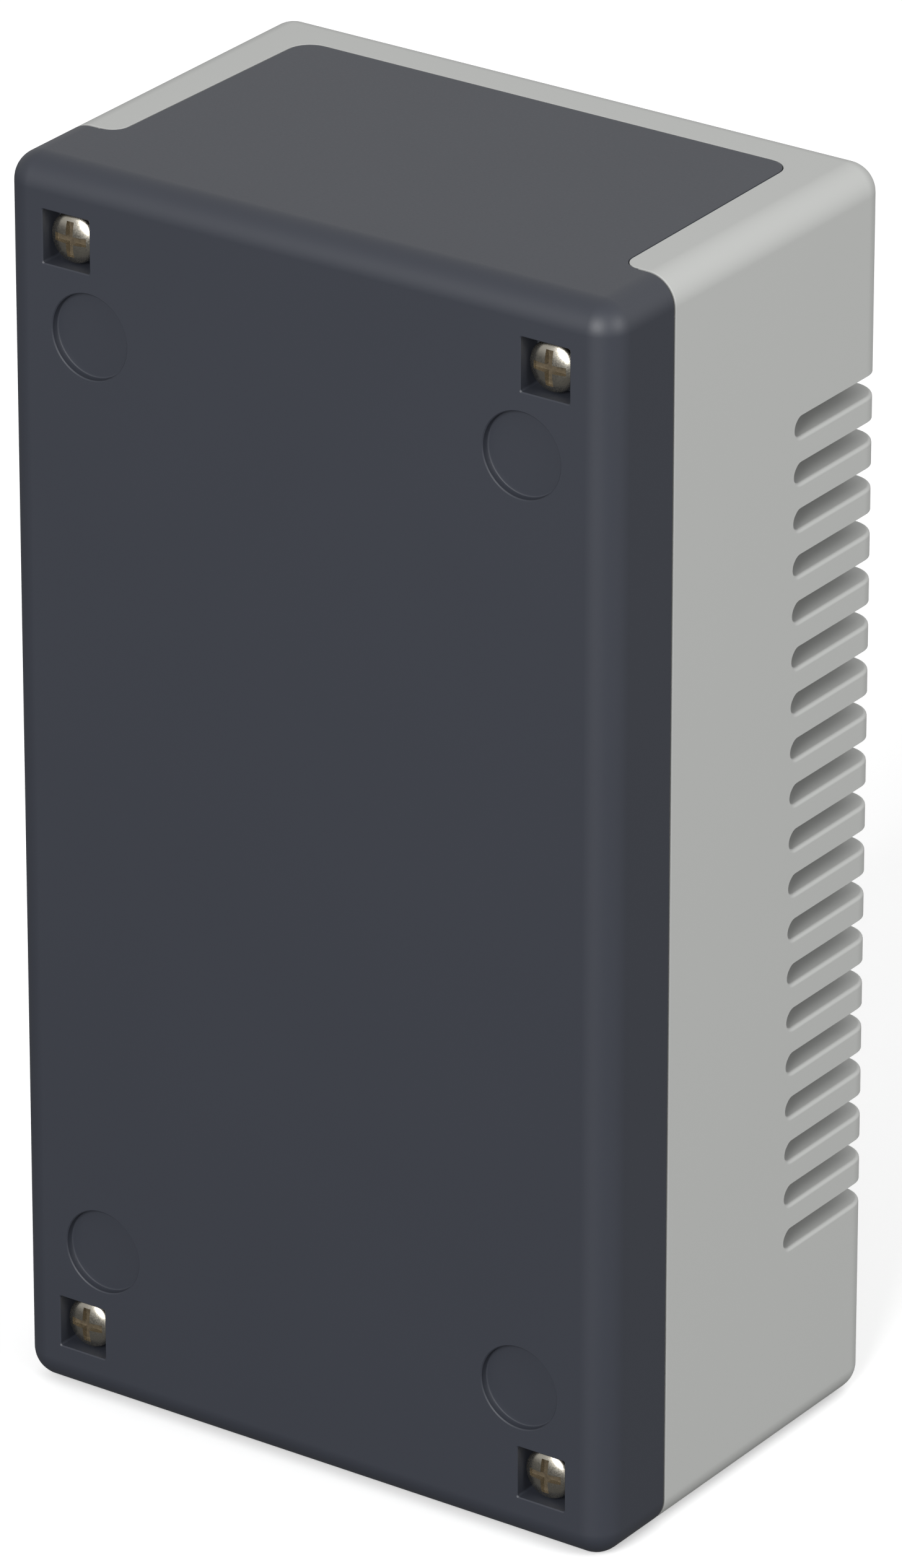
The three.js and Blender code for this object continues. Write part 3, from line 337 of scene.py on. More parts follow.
def spun(first: Profile, levels: np.ndarray, radii: np.ndarray, last: Profile, x: float = 0.0,
         z: float = 0.0) -> Body:
    """Body about the Y axis, round at both ends, whose middle has a radius of its own at each point.

    Args:
        first: (radius, height) points before the middle.
        levels: heights of the middle's rows.
        radii: array of shape (levels, sides).
        last: (radius, height) points after the middle.
        x: place of the axis along X.
        z: place of the axis along Z.

    Returns:
        The body.
    """
    sides = radii.shape[1]
    angle = np.linspace(0, 2 * math.pi, sides, endpoint=False)
    before, after = (np.array([[max(r, 1e-3)] for r, _ in rows]) * np.ones(sides) for rows in (first, last))
    radius = np.vstack([before, radii, after])
    height = np.concatenate([[h for _, h in first], levels, [h for _, h in last]])[:, None] * np.ones(sides)
    return loft(np.stack([x + radius * np.sin(angle), height, z + radius * np.cos(angle)], axis=-1))


def solid_object(name: str, body: Body, finishes: np.ndarray | None = None) -> Piece:
    """Makes a closed mesh object in metres, with doubles merged and faces looking outwards.

    Args:
        name: name of the object.
        body: its shape in millimetres.
        finishes: number of each face's finish, if there is more than one.

    Returns:
        The new object, at the origin.
    """
    mesh = bpy.data.meshes.new(name)
    mesh.from_pydata((body.points * MM).tolist(), [], body.faces)
    if finishes is not None:
        mesh.polygons.foreach_set("material_index", finishes.astype(np.int32))
    made = bmesh.new()
    made.from_mesh(mesh)
    bmesh.ops.remove_doubles(made, verts=made.verts, dist=2e-6)
    bmesh.ops.recalc_face_normals(made, faces=made.faces)
    made.to_mesh(mesh)
    made.free()
    obj = bpy.data.objects.new(name, mesh)
    bpy.context.scene.collection.objects.link(obj)
    return obj


def face_centres(mesh: bpy.types.Mesh) -> np.ndarray:
    """Middle of each face of a mesh.

    Args:
        mesh: the mesh.

    Returns:
        Array of shape (faces, 3), in millimetres.
    """
    centre = np.zeros(len(mesh.polygons) * 3)
    mesh.polygons.foreach_get("center", centre)
    return centre.reshape(-1, 3) / MM


def worked(obj: Piece) -> Piece:
    """Turns an object's live modifiers into its mesh.

    Args:
        obj: the object.

    Returns:
        The same object, with the new mesh.
    """
    bpy.context.view_layer.update()
    graph = bpy.context.evaluated_depsgraph_get()
    mesh = bpy.data.meshes.new_from_object(obj.evaluated_get(graph))
    old = obj.data
    obj.modifiers.clear()
    obj.data = mesh
    mesh.name = old.name
    bpy.data.meshes.remove(old)
    return obj


def combine(obj: Piece, body: Body, how: Cut) -> Piece:
    """Cuts a body out of an object, or joins it on.

    Args:
        obj: the object that is kept.
        body: the second body; its pieces don't overlap each other.
        how: cut or join.

    Returns:
        The changed object.
    """
    tool = solid_object("tool", body)
    step = obj.modifiers.new("combine", "BOOLEAN")
    step.operation = how.value
    step.solver = "MANIFOLD"
    step.object = tool
    worked(obj)
    bpy.data.objects.remove(tool)
    return obj


def soften(obj: Piece, width: float, sharp: float = 35.0, segments: int = 2) -> Piece:
    """Rounds an object's sharp edges, then shades it smooth except where two faces still meet at an angle.

    Args:
        obj: the object.
        width: size of the rounding in millimetres; none if zero.
        sharp: angle in degrees past which an edge counts as sharp.
        segments: faces across the rounding.

    Returns:
        The same object.
    """
    if width:
        made = bmesh.new()
        made.from_mesh(obj.data)
        bmesh.ops.dissolve_limit(made, angle_limit=math.radians(0.4), verts=made.verts, edges=made.edges)
        made.to_mesh(obj.data)
        made.free()
        bevel = obj.modifiers.new("round", "BEVEL")
        bevel.width = width * MM
        bevel.segments = segments
        bevel.limit_method = "ANGLE"
        bevel.angle_limit = math.radians(sharp)
        bevel.use_clamp_overlap = True
        bevel.miter_outer = "MITER_ARC"
        worked(obj)
    obj.data.shade_smooth()
    obj.data.set_sharp_from_angle(angle=math.radians(sharp))
    flat = obj.modifiers.new("flat faces stay flat", "WEIGHTED_NORMAL")
    flat.weight = 100
    flat.keep_sharp = True
    return worked(obj)


# ------------------------------------------------------------------ finishes


def add_node(tree: bpy.types.NodeTree, kind: str, settings: dict | None = None,
             links: dict | None = None) -> bpy.types.Node:
    """Adds one shader node.

    Args:
        tree: the material's node tree.
        kind: the node's type name.
        settings: property names, or input names and numbers after a colon, with their values.
        links: input names, or numbers, with the sockets that feed them.

    Returns:
        The new node.
    """
    node = tree.nodes.new(kind)
    for key, value in (settings or {}).items():
        if key.startswith(":"):
            socket = key[1:]
            node.inputs[int(socket) if socket.isdigit() else socket].default_value = value
        else:
            setattr(node, key, value)
    for key, source in (links or {}).items():
        tree.links.new(source, node.inputs[key])
    return node


@dataclass(frozen=True)
class Finish:
    """A moulded, cast, plated or coated surface with a grain and a faint change of tone.

    The tone wanders between two colours over a real length, and a grain lifts the surface and sways its
    roughness.
    """

    name: str
    colour: str
    second: str
    roughness: float
    metallic: float = 0.0
    ior: float = 1.5
    tone_mm: float = 30.0
    grain_mm: float = 0.35
    grain_height_mm: float = 0.004
    roughness_swing: float = 0.04
    coat: float = 0.0
    transmission: float = 0.0
    emission: float = 0.0
    stretch: tuple[float, float, float] = (1.0, 1.0, 1.0)

    def build(self) -> Material:
        """Makes the material's nodes.

        Returns:
            The material.
        """
        material = bpy.data.materials.new(self.name)
        material.use_nodes = True
        tree = material.node_tree
        tree.nodes.clear()
        place = add_node(tree, "ShaderNodeTexCoord").outputs["Object"]
        mapped = add_node(tree, "ShaderNodeMapping", {":Scale": self.stretch}, {"Vector": place}).outputs[0]
        tone = add_node(tree, "ShaderNodeTexNoise", {":Scale": 1 / (self.tone_mm * MM), ":Detail": 2.0},
                        {"Vector": mapped})
        grain = add_node(tree, "ShaderNodeTexNoise", {":Scale": 1 / (self.grain_mm * MM), ":Detail": 3.0},
                         {"Vector": mapped})
        mix = add_node(tree, "ShaderNodeMix", {"data_type": "RGBA", ":6": linear(self.colour),
                                               ":7": linear(self.second)}, {0: tone.outputs["Fac"]})
        rough = add_node(tree, "ShaderNodeMapRange", {":To Min": self.roughness - self.roughness_swing,
                                                      ":To Max": self.roughness + self.roughness_swing},
                         {"Value": grain.outputs["Fac"]})
        bump = add_node(tree, "ShaderNodeBump", {":Strength": 1.0, ":Distance": self.grain_height_mm * MM},
                        {"Height": grain.outputs["Fac"]})
        shader = add_node(tree, "ShaderNodeBsdfPrincipled",
                          {":Metallic": self.metallic, ":IOR": self.ior, ":Coat Weight": self.coat,
                           ":Transmission Weight": self.transmission},
                          {"Base Color": mix.outputs[2], "Roughness": rough.outputs[0],
                           "Normal": bump.outputs[0]})
        if self.emission:
            shader.inputs["Emission Color"].default_value = linear(self.colour)
            shader.inputs["Emission Strength"].default_value = self.emission
        add_node(tree, "ShaderNodeOutputMaterial", links={"Surface": shader.outputs[0]})
        return material


@dataclass(frozen=True)
class Laminate(Finish):
    """Solder mask over copper: lighter where a copper area lies under it, darker in the gaps between."""

    area_mm: float = 13.0
    row_mm: float = 7.5
    gap_mm: float = 0.35

    def build(self) -> Material:
        """Makes the material's nodes, then lays the copper areas into its colour and height.

        Returns:
            The material.
        """
        material = super().build()
        tree = material.node_tree
        shader = next(node for node in tree.nodes if node.bl_idname == "ShaderNodeBsdfPrincipled")
        bump = next(node for node in tree.nodes if node.bl_idname == "ShaderNodeBump")
        tone = shader.inputs["Base Color"].links[0].from_socket
        place = add_node(tree, "ShaderNodeTexCoord").outputs["Object"]
        parts = add_node(tree, "ShaderNodeSeparateXYZ", links={0: place})
        flat = add_node(tree, "ShaderNodeCombineXYZ", links={0: parts.outputs["Z"], 1: parts.outputs["X"]})
        areas = add_node(tree, "ShaderNodeTexBrick", {
            "offset": 0.37, "squash": 0.6, "squash_frequency": 3, ":Scale": 1.0, ":Color1": (1, 1, 1, 1),
            ":Color2": (0.93, 0.93, 0.93, 1), ":Mortar": (0.74, 0.74, 0.74, 1),
            ":Mortar Size": self.gap_mm * MM,
            ":Brick Width": self.area_mm * MM, ":Row Height": self.row_mm * MM,
        }, {"Vector": flat.outputs[0]})
        mixed = add_node(tree, "ShaderNodeMix", {"data_type": "RGBA", "blend_type": "MULTIPLY", ":0": 1.0},
                         {6: tone, 7: areas.outputs["Color"]})
        tree.links.new(mixed.outputs[2], shader.inputs["Base Color"])
        step = add_node(tree, "ShaderNodeBump", {":Strength": 1.0, ":Distance": 0.03 * MM},
                        {"Height": areas.outputs["Color"], "Normal": bump.outputs[0]})
        tree.links.new(step.outputs[0], shader.inputs["Normal"])
        return material


# ABS off a spark-eroded mould: half matt, even, black with a little blue. The grain is really about
# 0.05 mm; it is drawn at 0.35 mm, the smallest that shows.
GRAPHITE_ABS = Finish("graphite ABS, spark-eroded mould", "#2c2f37", "#2e3139", 0.52)
# The same moulding in light grey: matt, a little warm.
LIGHT_GREY_ABS = Finish("light grey ABS, spark-eroded mould", "#a7a8a6", "#a8a9a7", 0.64)
# Nickel over steel: bright, hardly rough, a trace warm.
NICKEL_PLATE = Finish("nickel-plated steel", "#cfcabd", "#bfb9ac", 0.27, metallic=1.0, tone_mm=1.2,
                      grain_mm=0.22, grain_height_mm=0.004, roughness_swing=0.12)
# Inside the cold-formed cross: brown, duller and darker than the head, a painted shade with a painted warm
# reflection.
RECESS_SHADE_AND_REFLECTION = Finish("thin nickel in a cold-formed recess", "#6a5e4a", "#3a3226", 0.6, metallic=0.35,
                      tone_mm=0.5, grain_mm=0.12, grain_height_mm=0.012, roughness_swing=0.1)


def dress(obj: Piece, *finishes: Material) -> Piece:
    """Gives an object its materials, in order.

    Args:
        obj: the object.
        finishes: built materials.

    Returns:
        The same object.
    """
    obj.data.materials.clear()
    for material in finishes:
        obj.data.materials.append(material)
    return obj


# ------------------------------------------------------------------ housing


@dataclass
class Housing:
    """Sizes that the two shells share, in millimetres."""

    edge: float = 4.4
    front_edge: float = 4.2
    base_rise: float = 14.8
    back_wall: float = 3.0
    wall: float = 2.5
    gap: float = 0.3
    tongue_reach: float = 58.0
    tongue_half: float = 41.8
    tongue_draft: float = 1.0
    tongue_corner: float = 3.4
    tongue_root: float = 2.9
    tongue_overlap: float = 6.0
    near: float = 0.09
    screw_x: float = 39.9
    screw_end: float = 10.9
    shank: float = 1.75
    tube_wall: float = 2.3
    low: np.ndarray = field(default_factory=lambda: np.array(CAD_BOX[0]) / MM)
    high: np.ndarray = field(default_factory=lambda: np.array(CAD_BOX[1]) / MM)

    @property
    def back(self) -> float:
        """Y of the dark back face."""
        return float(self.low[1])

    @property
    def front(self) -> float:
        """Y of the light front face."""
        return float(self.high[1])

    @property
    def half_width(self) -> float:
        """Half the width along X."""
        return float(self.high[0])

    @property
    def length(self) -> float:
        """Length along Z."""
        return float(self.high[2])

    @property
    def part_line(self) -> float:
        """Y of the base's rim."""
        return self.back + self.base_rise

    def screw_places(self) -> dict[str, tuple[float, float]]:
        """X and Z of each case screw.

        Returns:
            A place for each corner's name.
        """
        top = self.length - self.screw_end
        return {
            "top_left": (-self.screw_x, top),
            "top_right": (self.screw_x, top),
            "bottom_left": (-self.screw_x, self.screw_end),
            "bottom_right": (self.screw_x, self.screw_end),
        }

    def rings(self, stations: list[tuple[float, float]], inner_radius: float = 0.8) -> np.ndarray:
        """Rounded rectangles in XZ, one for each (inset, y) station.

        The corner radius is the outer one less the inset, so the walls stay parallel.

        Args:
            stations: how far in from the outside, and the Y of each ring.
            inner_radius: the smallest corner radius of a ring far from the outside.

        Returns:
            Array of shape (stations, points, 3).
        """
        made = []
        for inset, y in stations:
            radius = max(self.edge - inset, 0.02 if inset <= self.edge else inner_radius)
            flat = rounded_rectangle(self.half_width - inset, self.length / 2 - inset, radius, 12)
            made.append(across(Axis.Y, y, flat + (0.0, self.length / 2)))
        return np.array(made)

    def tongue_outline(self, grow: float) -> np.ndarray:
        """Outline of an end tongue in XY: straight drafted sides, round far corners, hollow roots.

        Args:
            grow: how far the outline moves outwards.

        Returns:
            Array of points, anticlockwise from the lower left.
        """
        foot = self.part_line + grow
        half = self.tongue_half + grow
        far = self.back + self.tongue_reach + grow
        slope = math.tan(math.radians(self.tongue_draft))
        far_half = half - slope * (far - foot)
        corner = self.tongue_corner + grow
        root = self.tongue_root - grow
        quarter = np.linspace(0, math.pi / 2, 9)
        cos, sin = np.cos(quarter), np.sin(quarter)
        hollow = np.column_stack([half + root - root * sin, foot + root - root * cos])
        top = np.column_stack([far_half - corner + corner * cos, far - corner + corner * sin])
        right = np.vstack([[[half + root, foot - self.tongue_overlap]], hollow, top])
        return np.vstack([right, right[::-1] * (-1.0, 1.0)])

    def eased_prism(self, stations: list[tuple[float, float]]) -> Body:
        """Tongue outline carried along Z, grown by a given amount at each level.

        Args:
            stations: Z and growth of each level.

        Returns:
            A closed body.
        """
        return loft(np.array([across(Axis.Z, z, self.tongue_outline(grow)) for z, grow in stations]))


@dataclass
class BaseShell(Housing):
    """Dark tray with two end tongues, screw tubes and board posts."""

    ease: float = 0.15
    pocket: float = 8.0
    pocket_depth: float = 4.0
    pocket_wall: float = 2.2
    foot_radius: float = 6.35
    foot_depth: float = 1.2
    foot_x: float = 36.1
    foot_end: float = 24.2
    mouth_ease: float = 0.15
    mouth_corner: float = 0.35
    post_foot: float = 3.2
    post_top: float = 3.0
    post_bore: float = 1.55
    entry_rim: float = 2.2
    entry_step: float = 2.0

    def tray(self) -> Body:
        """Tray as one skin: round the back edge, up the rim, over it and down the inside.

        Returns:
            The tray.
        """
        turn = np.linspace(0, math.pi / 2, 13)
        stations = [(self.edge * (1 - math.sin(t)), self.back + self.edge * (1 - math.cos(t))) for t in turn]
        stations += [(0.0, self.part_line - 0.22), (0.07, self.part_line - 0.06), (0.24, self.part_line)]
        stations += [(self.wall, self.part_line)]
        floor = self.back + self.back_wall
        stations += [(self.wall, floor + 1.0)]
        stations += [(self.wall + 1 - math.cos(t), floor + 1 - math.sin(t)) for t in turn[2::2]]
        return loft(self.rings(stations))

    def build(self, finish: Material) -> Piece:
        """Makes the shell.

        Args:
            finish: its plastic.

        Returns:
            The finished piece.
        """
        shell = solid_object("base_shell_skin", self.tray())
        stations = [(1e-3, -0.05), (0.05, 0.06), (self.ease, self.near), (self.wall, self.near)]
        lower = self.eased_prism(stations)
        upper = self.eased_prism([(self.length - z, grow) for z, grow in stations])
        combine(shell, gather([lower, upper]), Cut.ADD)
        floor = self.back + self.back_wall
        seat = self.back + self.pocket_depth
        places = self.screw_places().values()
        around = self.pocket / 2 + self.pocket_wall
        combine(shell, gather([
            block((x - around, floor - 0.5, z - around), (x + around, seat + self.pocket_wall, z + around))
            for x, z in places
        ]), Cut.ADD)
        tube = self.shank + self.gap + self.tube_wall
        combine(shell, gather([
            turned([(tube, seat + 1), (tube, self.part_line)], Axis.Y, (x, 0, z)) for x, z in places
        ]), Cut.ADD)
        combine(shell, gather([self.mouth(x, z) for x, z in places]), Cut.TAKE)
        bore = self.shank + self.gap
        combine(shell, gather([
            turned([(bore, self.back), (bore, self.part_line + 2)], Axis.Y, (x, 0, z), 32) for x, z in places
        ]), Cut.TAKE)
        combine(shell, gather([
            self.foot_cutter(x, z)
            for x in (-self.foot_x, self.foot_x)
            for z in (self.foot_end, self.length - self.foot_end)
        ]), Cut.TAKE)
        self.board_posts(shell)
        self.cable_entries(shell)
        soften(shell, 0.0, sharp=32.0)
        return dress(shell, finish)

    def mouth(self, x: float, z: float) -> Body:
        """Square screw pocket: a cutter with slightly round corners and an eased mouth.

        Args:
            x: place of the screw along X.
            z: place of the screw along Z.

        Returns:
            The cutter.
        """
        half, ease = self.pocket / 2, self.mouth_ease
        levels = ((self.back - 1, ease), (self.back, ease), (self.back + ease, 0.0),
                  (self.back + self.pocket_depth, -0.05))
        sections = [(y, half + out, half + out, self.mouth_corner) for y, out in levels]
        return stacked(Axis.Y, (x, z), sections, 4)

    def foot_cutter(self, x: float, z: float) -> Body:
        """Round recess for a stick-on foot: a cutter with an eased mouth and a small radius at its floor.

        Args:
            x: place of the foot along X.
            z: place of the foot along Z.

        Returns:
            The cutter.
        """
        r, deep, ease = self.foot_radius, self.foot_depth, self.mouth_ease
        profile = [(r + ease, -1), (r + ease, 0), (r, ease), (r, deep - 0.3), (r - 0.1, deep - 0.1),
                   (r - 0.3, deep)]
        return turned(profile, Axis.Y, (x, self.back, z), 96)

    def board_posts(self, shell: Piece) -> None:
        """Joins the four posts under the board's screws and bores them.

        Args:
            shell: the shell so far.
        """
        posts, bores = [], []
        foot = self.back + self.back_wall - 0.5
        under = node_box("main_board")[0][1]
        for number in range(1, 5):
            x, _, z = middle_of(f"board_screw_{number}")
            tip = node_box(f"board_screw_{number}")[0][1]
            post = [(self.post_foot, foot), (self.post_top, under - self.gap)]
            posts.append(turned(post, Axis.Y, (x, 0, z)))
            bore = [(self.post_bore, tip - 0.4), (self.post_bore, under + 1)]
            bores.append(turned(bore, Axis.Y, (x, 0, z), 24))
        combine(shell, gather(posts), Cut.ADD)
        combine(shell, gather(bores), Cut.TAKE)

    def cable_entries(self, shell: Piece) -> None:
        """Thickens the bottom end round the two grommets and cuts their stepped holes.

        Args:
            shell: the shell so far.
        """
        pads, holes = [], []
        for name in ("dc_grommet", "ac_grommet"):
            low, high = node_box(name)
            x, y, _ = middle_of(name)
            flange = (high[0] - low[0]) / 2 + self.gap
            neck, rim = flange - self.entry_step, flange + self.entry_rim
            pads.append(turned([(rim, self.wall - 0.5), (rim, 2 * self.wall)], Axis.Z, (x, y, 0.0)))
            holes.append(turned([(flange, -1), (flange, self.wall / 2), (neck, self.wall / 2),
                                 (neck, 2 * self.wall + 1)], Axis.Z, (x, y, 0.0)))
        combine(shell, gather(pads), Cut.ADD)
        combine(shell, gather(holes), Cut.TAKE)


@dataclass
class CoverShell(Housing):
    """Light lid with two banks of ventilation slots that run round its front corners."""

    slots: int = 19
    pitch: float = 6.946
    slot_height: float = 3.2
    slot_start: float = 44.9
    vent_depth: float = 6.0
    land: float = 3.0
    lip: float = 0.55
    lip_points: int = 34
    lip_wall: float = 1.2
    boss_bore_end: float = 25.0
    guide_hole: float = 2.3

    def lid(self) -> Body:
        """Lid as one skin: over the front edge, down to the rim, round it and up the inside.

        Returns:
            The lid.
        """
        turn = np.linspace(0, math.pi / 2, 13)
        edge = self.front_edge
        stations = [(edge * (1 - math.sin(t)), self.front - edge * (1 - math.cos(t))) for t in turn]
        low = self.part_line + self.gap
        stations += [(0.0, low + 0.22), (0.07, low + 0.06), (0.24, low), (self.wall, low)]
        ceiling = self.front - self.wall
        stations += [(self.wall, ceiling - 1.0)]
        stations += [(self.wall + 1 - math.cos(t), ceiling - 1 + math.sin(t)) for t in turn[2::2]]
        return loft(self.rings(stations))

    def heights(self) -> np.ndarray:
        """Z of the middle of each slot."""
        return self.length / 2 + (np.arange(self.slots) - (self.slots - 1) / 2) * self.pitch

    def on_wall(self, along: np.ndarray, depth: float) -> tuple[np.ndarray, np.ndarray]:
        """Point at a length along the outside: up the side, round the quarter circle, over the front.

        Args:
            along: length from the back face, measured on the outside.
            depth: how far inside the outside.

        Returns:
            X and Y.
        """
        r = self.front_edge
        straight = self.front - self.back - r
        arc = r * math.pi / 2
        angle = np.clip((along - straight) / r, 0, math.pi / 2)
        past = np.maximum(along - straight - arc, 0)
        x = self.half_width - r + (r - depth) * np.cos(angle) - past
        y = np.where(along < straight, self.back + along, self.front - r + (r - depth) * np.sin(angle))
        return x, y

    def lip_cutter(self, z: float) -> Body:
        """Eased mouth of one slot: each layer's outline is the slot's, moved out by less as it goes deeper.

        The move is lip minus the root of lip squared less what is left of the depth squared, full on the
        lower edge and a small share of it on the upper edge.

        Args:
            z: middle of the slot.

        Returns:
            A cutter on the +X side.
        """
        half = self.slot_height / 2
        start = self.slot_start + half
        end = self.front - self.back - self.front_edge * (2 - math.pi / 2) + self.vent_depth
        turn = np.linspace(math.pi / 2, 3 * math.pi / 2, 15)[1:-1]
        lengths = np.linspace(start, end, self.lip_points)
        level = np.ones(self.lip_points)
        along = np.concatenate([lengths[::-1], start + half * np.cos(turn), lengths])
        out_along = np.concatenate([0 * level, np.cos(turn), 0 * level])
        out_height = np.concatenate([level, np.sin(turn), -level])
        height = half * out_height
        share = np.clip(0.5 - 0.62 * out_height, 0.1, 1.0)
        rings = []
        for depth in (-0.4, 0.0, 0.02, 0.07, 0.15, 0.26, 0.38, self.lip):
            left = max(self.lip - max(depth, 0.0), 0.0)
            flare = self.lip - math.sqrt(self.lip ** 2 - left ** 2)
            x, y = self.on_wall(along + out_along * share * flare, depth)
            rings.append(np.column_stack([x, y, z + height + out_height * share * flare]))
        body = loft(np.array(rings), ends=False)
        size, last = len(along), self.lip_points - 1
        for first in (0, size * (len(rings) - 1)):
            far = first + size - 1
            body.faces += [[first + k, first + k + 1, far - k - 1, far - k] for k in range(last)]
            body.faces.append([first + k for k in range(last, size - last)])
        return body

    def slot_cutter(self, z: float) -> Body:
        """One slot as a prism with a round end, from inside the rib panel out past the side.

        Args:
            z: middle of the slot.

        Returns:
            A cutter on the +X side.
        """
        half = self.slot_height / 2
        start = self.back + self.slot_start + half
        turn = np.linspace(math.pi / 2, 3 * math.pi / 2, 17)
        arc = np.column_stack([start + half * np.cos(turn), z + half * np.sin(turn)])
        outline = np.vstack([[[self.front + 1, z - half], [self.front + 1, z + half]], arc])
        inner = self.half_width - self.vent_depth - 0.5
        return carried(outline, Axis.X, [inner, self.half_width + 1])

    def build(self, finish: Material) -> Piece:
        """Makes the shell.

        Args:
            finish: its plastic.

        Returns:
            The finished piece.
        """
        shell = solid_object("cover_shell_skin", self.lid())
        middle = self.heights()
        reach = self.slot_height / 2 + self.land
        inner_front = self.front - self.wall
        inner_side = self.half_width - self.wall
        panel = block(
            (self.half_width - self.vent_depth, self.back + self.slot_start - self.land, middle[0] - reach),
            (inner_side + 0.5, inner_front + 0.5, middle[-1] + reach),
        )
        combine(shell, gather([panel, panel.mirrored_x()]), Cut.ADD)
        self.lip_ring(shell)
        low = self.part_line + self.gap
        boss = self.shank + self.gap + self.tube_wall
        combine(shell, gather([
            turned([(boss, low), (boss, inner_front + 0.5)], Axis.Y, (x, 0, z))
            for x, z in self.screw_places().values()
        ]), Cut.ADD)
        bore = self.shank + self.gap
        combine(shell, gather([
            turned([(bore, low - 3), (bore, self.back + self.boss_bore_end)], Axis.Y, (x, 0, z), 32)
            for x, z in self.screw_places().values()
        ]), Cut.TAKE)
        past_lip = self.wall + self.gap + self.lip_wall + self.gap
        snug, ease = self.gap - self.near, 0.12
        mouth = [(-1.0, snug + ease), (0.0, snug + ease), (0.04, snug + 0.03), (ease, snug), (past_lip, snug)]
        lower = self.eased_prism(mouth)
        upper = self.eased_prism([(self.length - z, grow) for z, grow in mouth])
        combine(shell, gather([lower, upper]), Cut.TAKE)
        right = [self.slot_cutter(z) for z in middle]
        combine(shell, gather(right + [cutter.mirrored_x() for cutter in right]), Cut.TAKE)
        eased = [self.lip_cutter(z) for z in middle]
        combine(shell, gather(eased + [cutter.mirrored_x() for cutter in eased]), Cut.TAKE)
        hole = [(self.guide_hole, inner_front - 1), (self.guide_hole, self.front + 1)]
        combine(shell, turned(hole, Axis.Y, (0, 0, middle_of("light_guide")[2])), Cut.TAKE)
        soften(shell, 0.0, sharp=28.0)
        return dress(shell, finish)

    def lip_ring(self, shell: Piece) -> None:
        """Joins the inner lip that drops into the base.

        Args:
            shell: the shell so far.
        """
        low = self.part_line + self.gap
        outer, inner, rooted = self.wall + self.gap, self.wall + self.gap + self.lip_wall, self.wall - 0.4
        stations = [(outer, low - 2.0), (outer, low + 0.2), (rooted, low + 0.2), (rooted, low + 2.0),
                    (inner, low + 2.0), (inner, low - 2.0)]
        combine(shell, loft(self.rings(stations), ends=False, loop=True), Cut.ADD)


@dataclass
class CaseScrew:
    """Dome-headed screw with a tapered crossed recess and a thread-forming shank."""

    name: str
    head: float = 3.75
    proud: float = 0.25
    dome: float = 1.35
    cross_half: float = 2.62
    cross_width: float = 0.6
    cross_depth: float = 0.95
    head_height: float = 2.8
    core: float = 1.42
    pitch: float = 1.35
    thread: float = 0.32

    @property
    def top(self) -> float:
        """Y of the highest point of the dome."""
        return float(node_box(self.name)[0][1]) - self.proud

    def outside(self) -> Body:
        """Head and shank turned about Y; the shank's radius swings with a spiral ridge down its length.

        Returns:
            The screw before its cross is pressed.
        """
        low, high = node_box(self.name)
        x, _, z = middle_of(self.name)
        under, tip = low[1] + self.head_height, high[1]
        start, end = under + 0.4, tip - 1.2
        profile = [(self.head * math.sin(t), self.top + self.dome * (1 - math.cos(t)))
                   for t in np.linspace(0, math.pi / 2, 14)]
        profile += [(self.head, under - 0.15), (self.head - 0.15, under), (1.9, under), (1.55, under + 0.35)]
        levels = np.arange(start, end, 0.09)
        ridge = np.clip(1 - np.abs(spiral(levels, self.pitch, 64, 1) - 0.5) * 4.2, 0, 1)
        ease = np.clip((levels - start) / 1.5, 0, 1) * np.clip((end - levels) / 2.0, 0, 1)
        shank = self.core + self.thread * ridge * ease[:, None]
        return spun(profile, levels, shank, [(1.1, tip - 0.8), (0.5, tip - 0.3), (0.0, tip)], x, z)

    def cross(self) -> Body:
        """Crossed cutter with a flat floor and hardly any taper.

        Returns:
            The cutter.
        """
        x, _, z = middle_of(self.name)
        rings = []
        for y, less in ((-0.4, 0.0), (0.5, 0.0), (self.cross_depth, 0.06)):
            a, b = self.cross_half - less, self.cross_width - less
            plus = np.array([[a, -b], [a, b], [b, b], [b, a], [-b, a], [-b, b], [-a, b], [-a, -b],
                             [-b, -b], [-b, -a], [b, -a], [b, -b]])
            rings.append(across(Axis.Y, self.top + y, plus + (x, z)))
        return loft(np.array(rings))

    def build(self, plate: Material, recess: Material) -> Piece:
        """Makes the screw.

        Args:
            plate: finish of the outside.
            recess: finish of the cross, darker and browner: painted shade and painted reflection.

        Returns:
            The finished piece.
        """
        screw = solid_object(self.name + "_detailed", self.outside())
        combine(screw, self.cross(), Cut.TAKE)
        dress(screw, plate, recess)
        x, _, z = middle_of(self.name)
        u, y, v = (face_centres(screw.data) - (x, 0, z)).T
        radius = np.hypot(u, v)
        floor = self.top + self.cross_depth
        dome = self.top + self.dome * (1 - np.sqrt(np.clip(1 - (radius / self.head) ** 2, 0, 1)))
        # The floor faces of the cross take the recess finish: painted shade and painted reflection.
        sunk = (y > dome + 0.05) & (np.abs(y - floor - 0.025) < 0.075) & (radius < 2.8)
        screw.data.polygons.foreach_set("material_index", sunk.astype(np.int32))
        return soften(screw, 0.0, sharp=38.0)


# ------------------------------------------------------------------ the inside

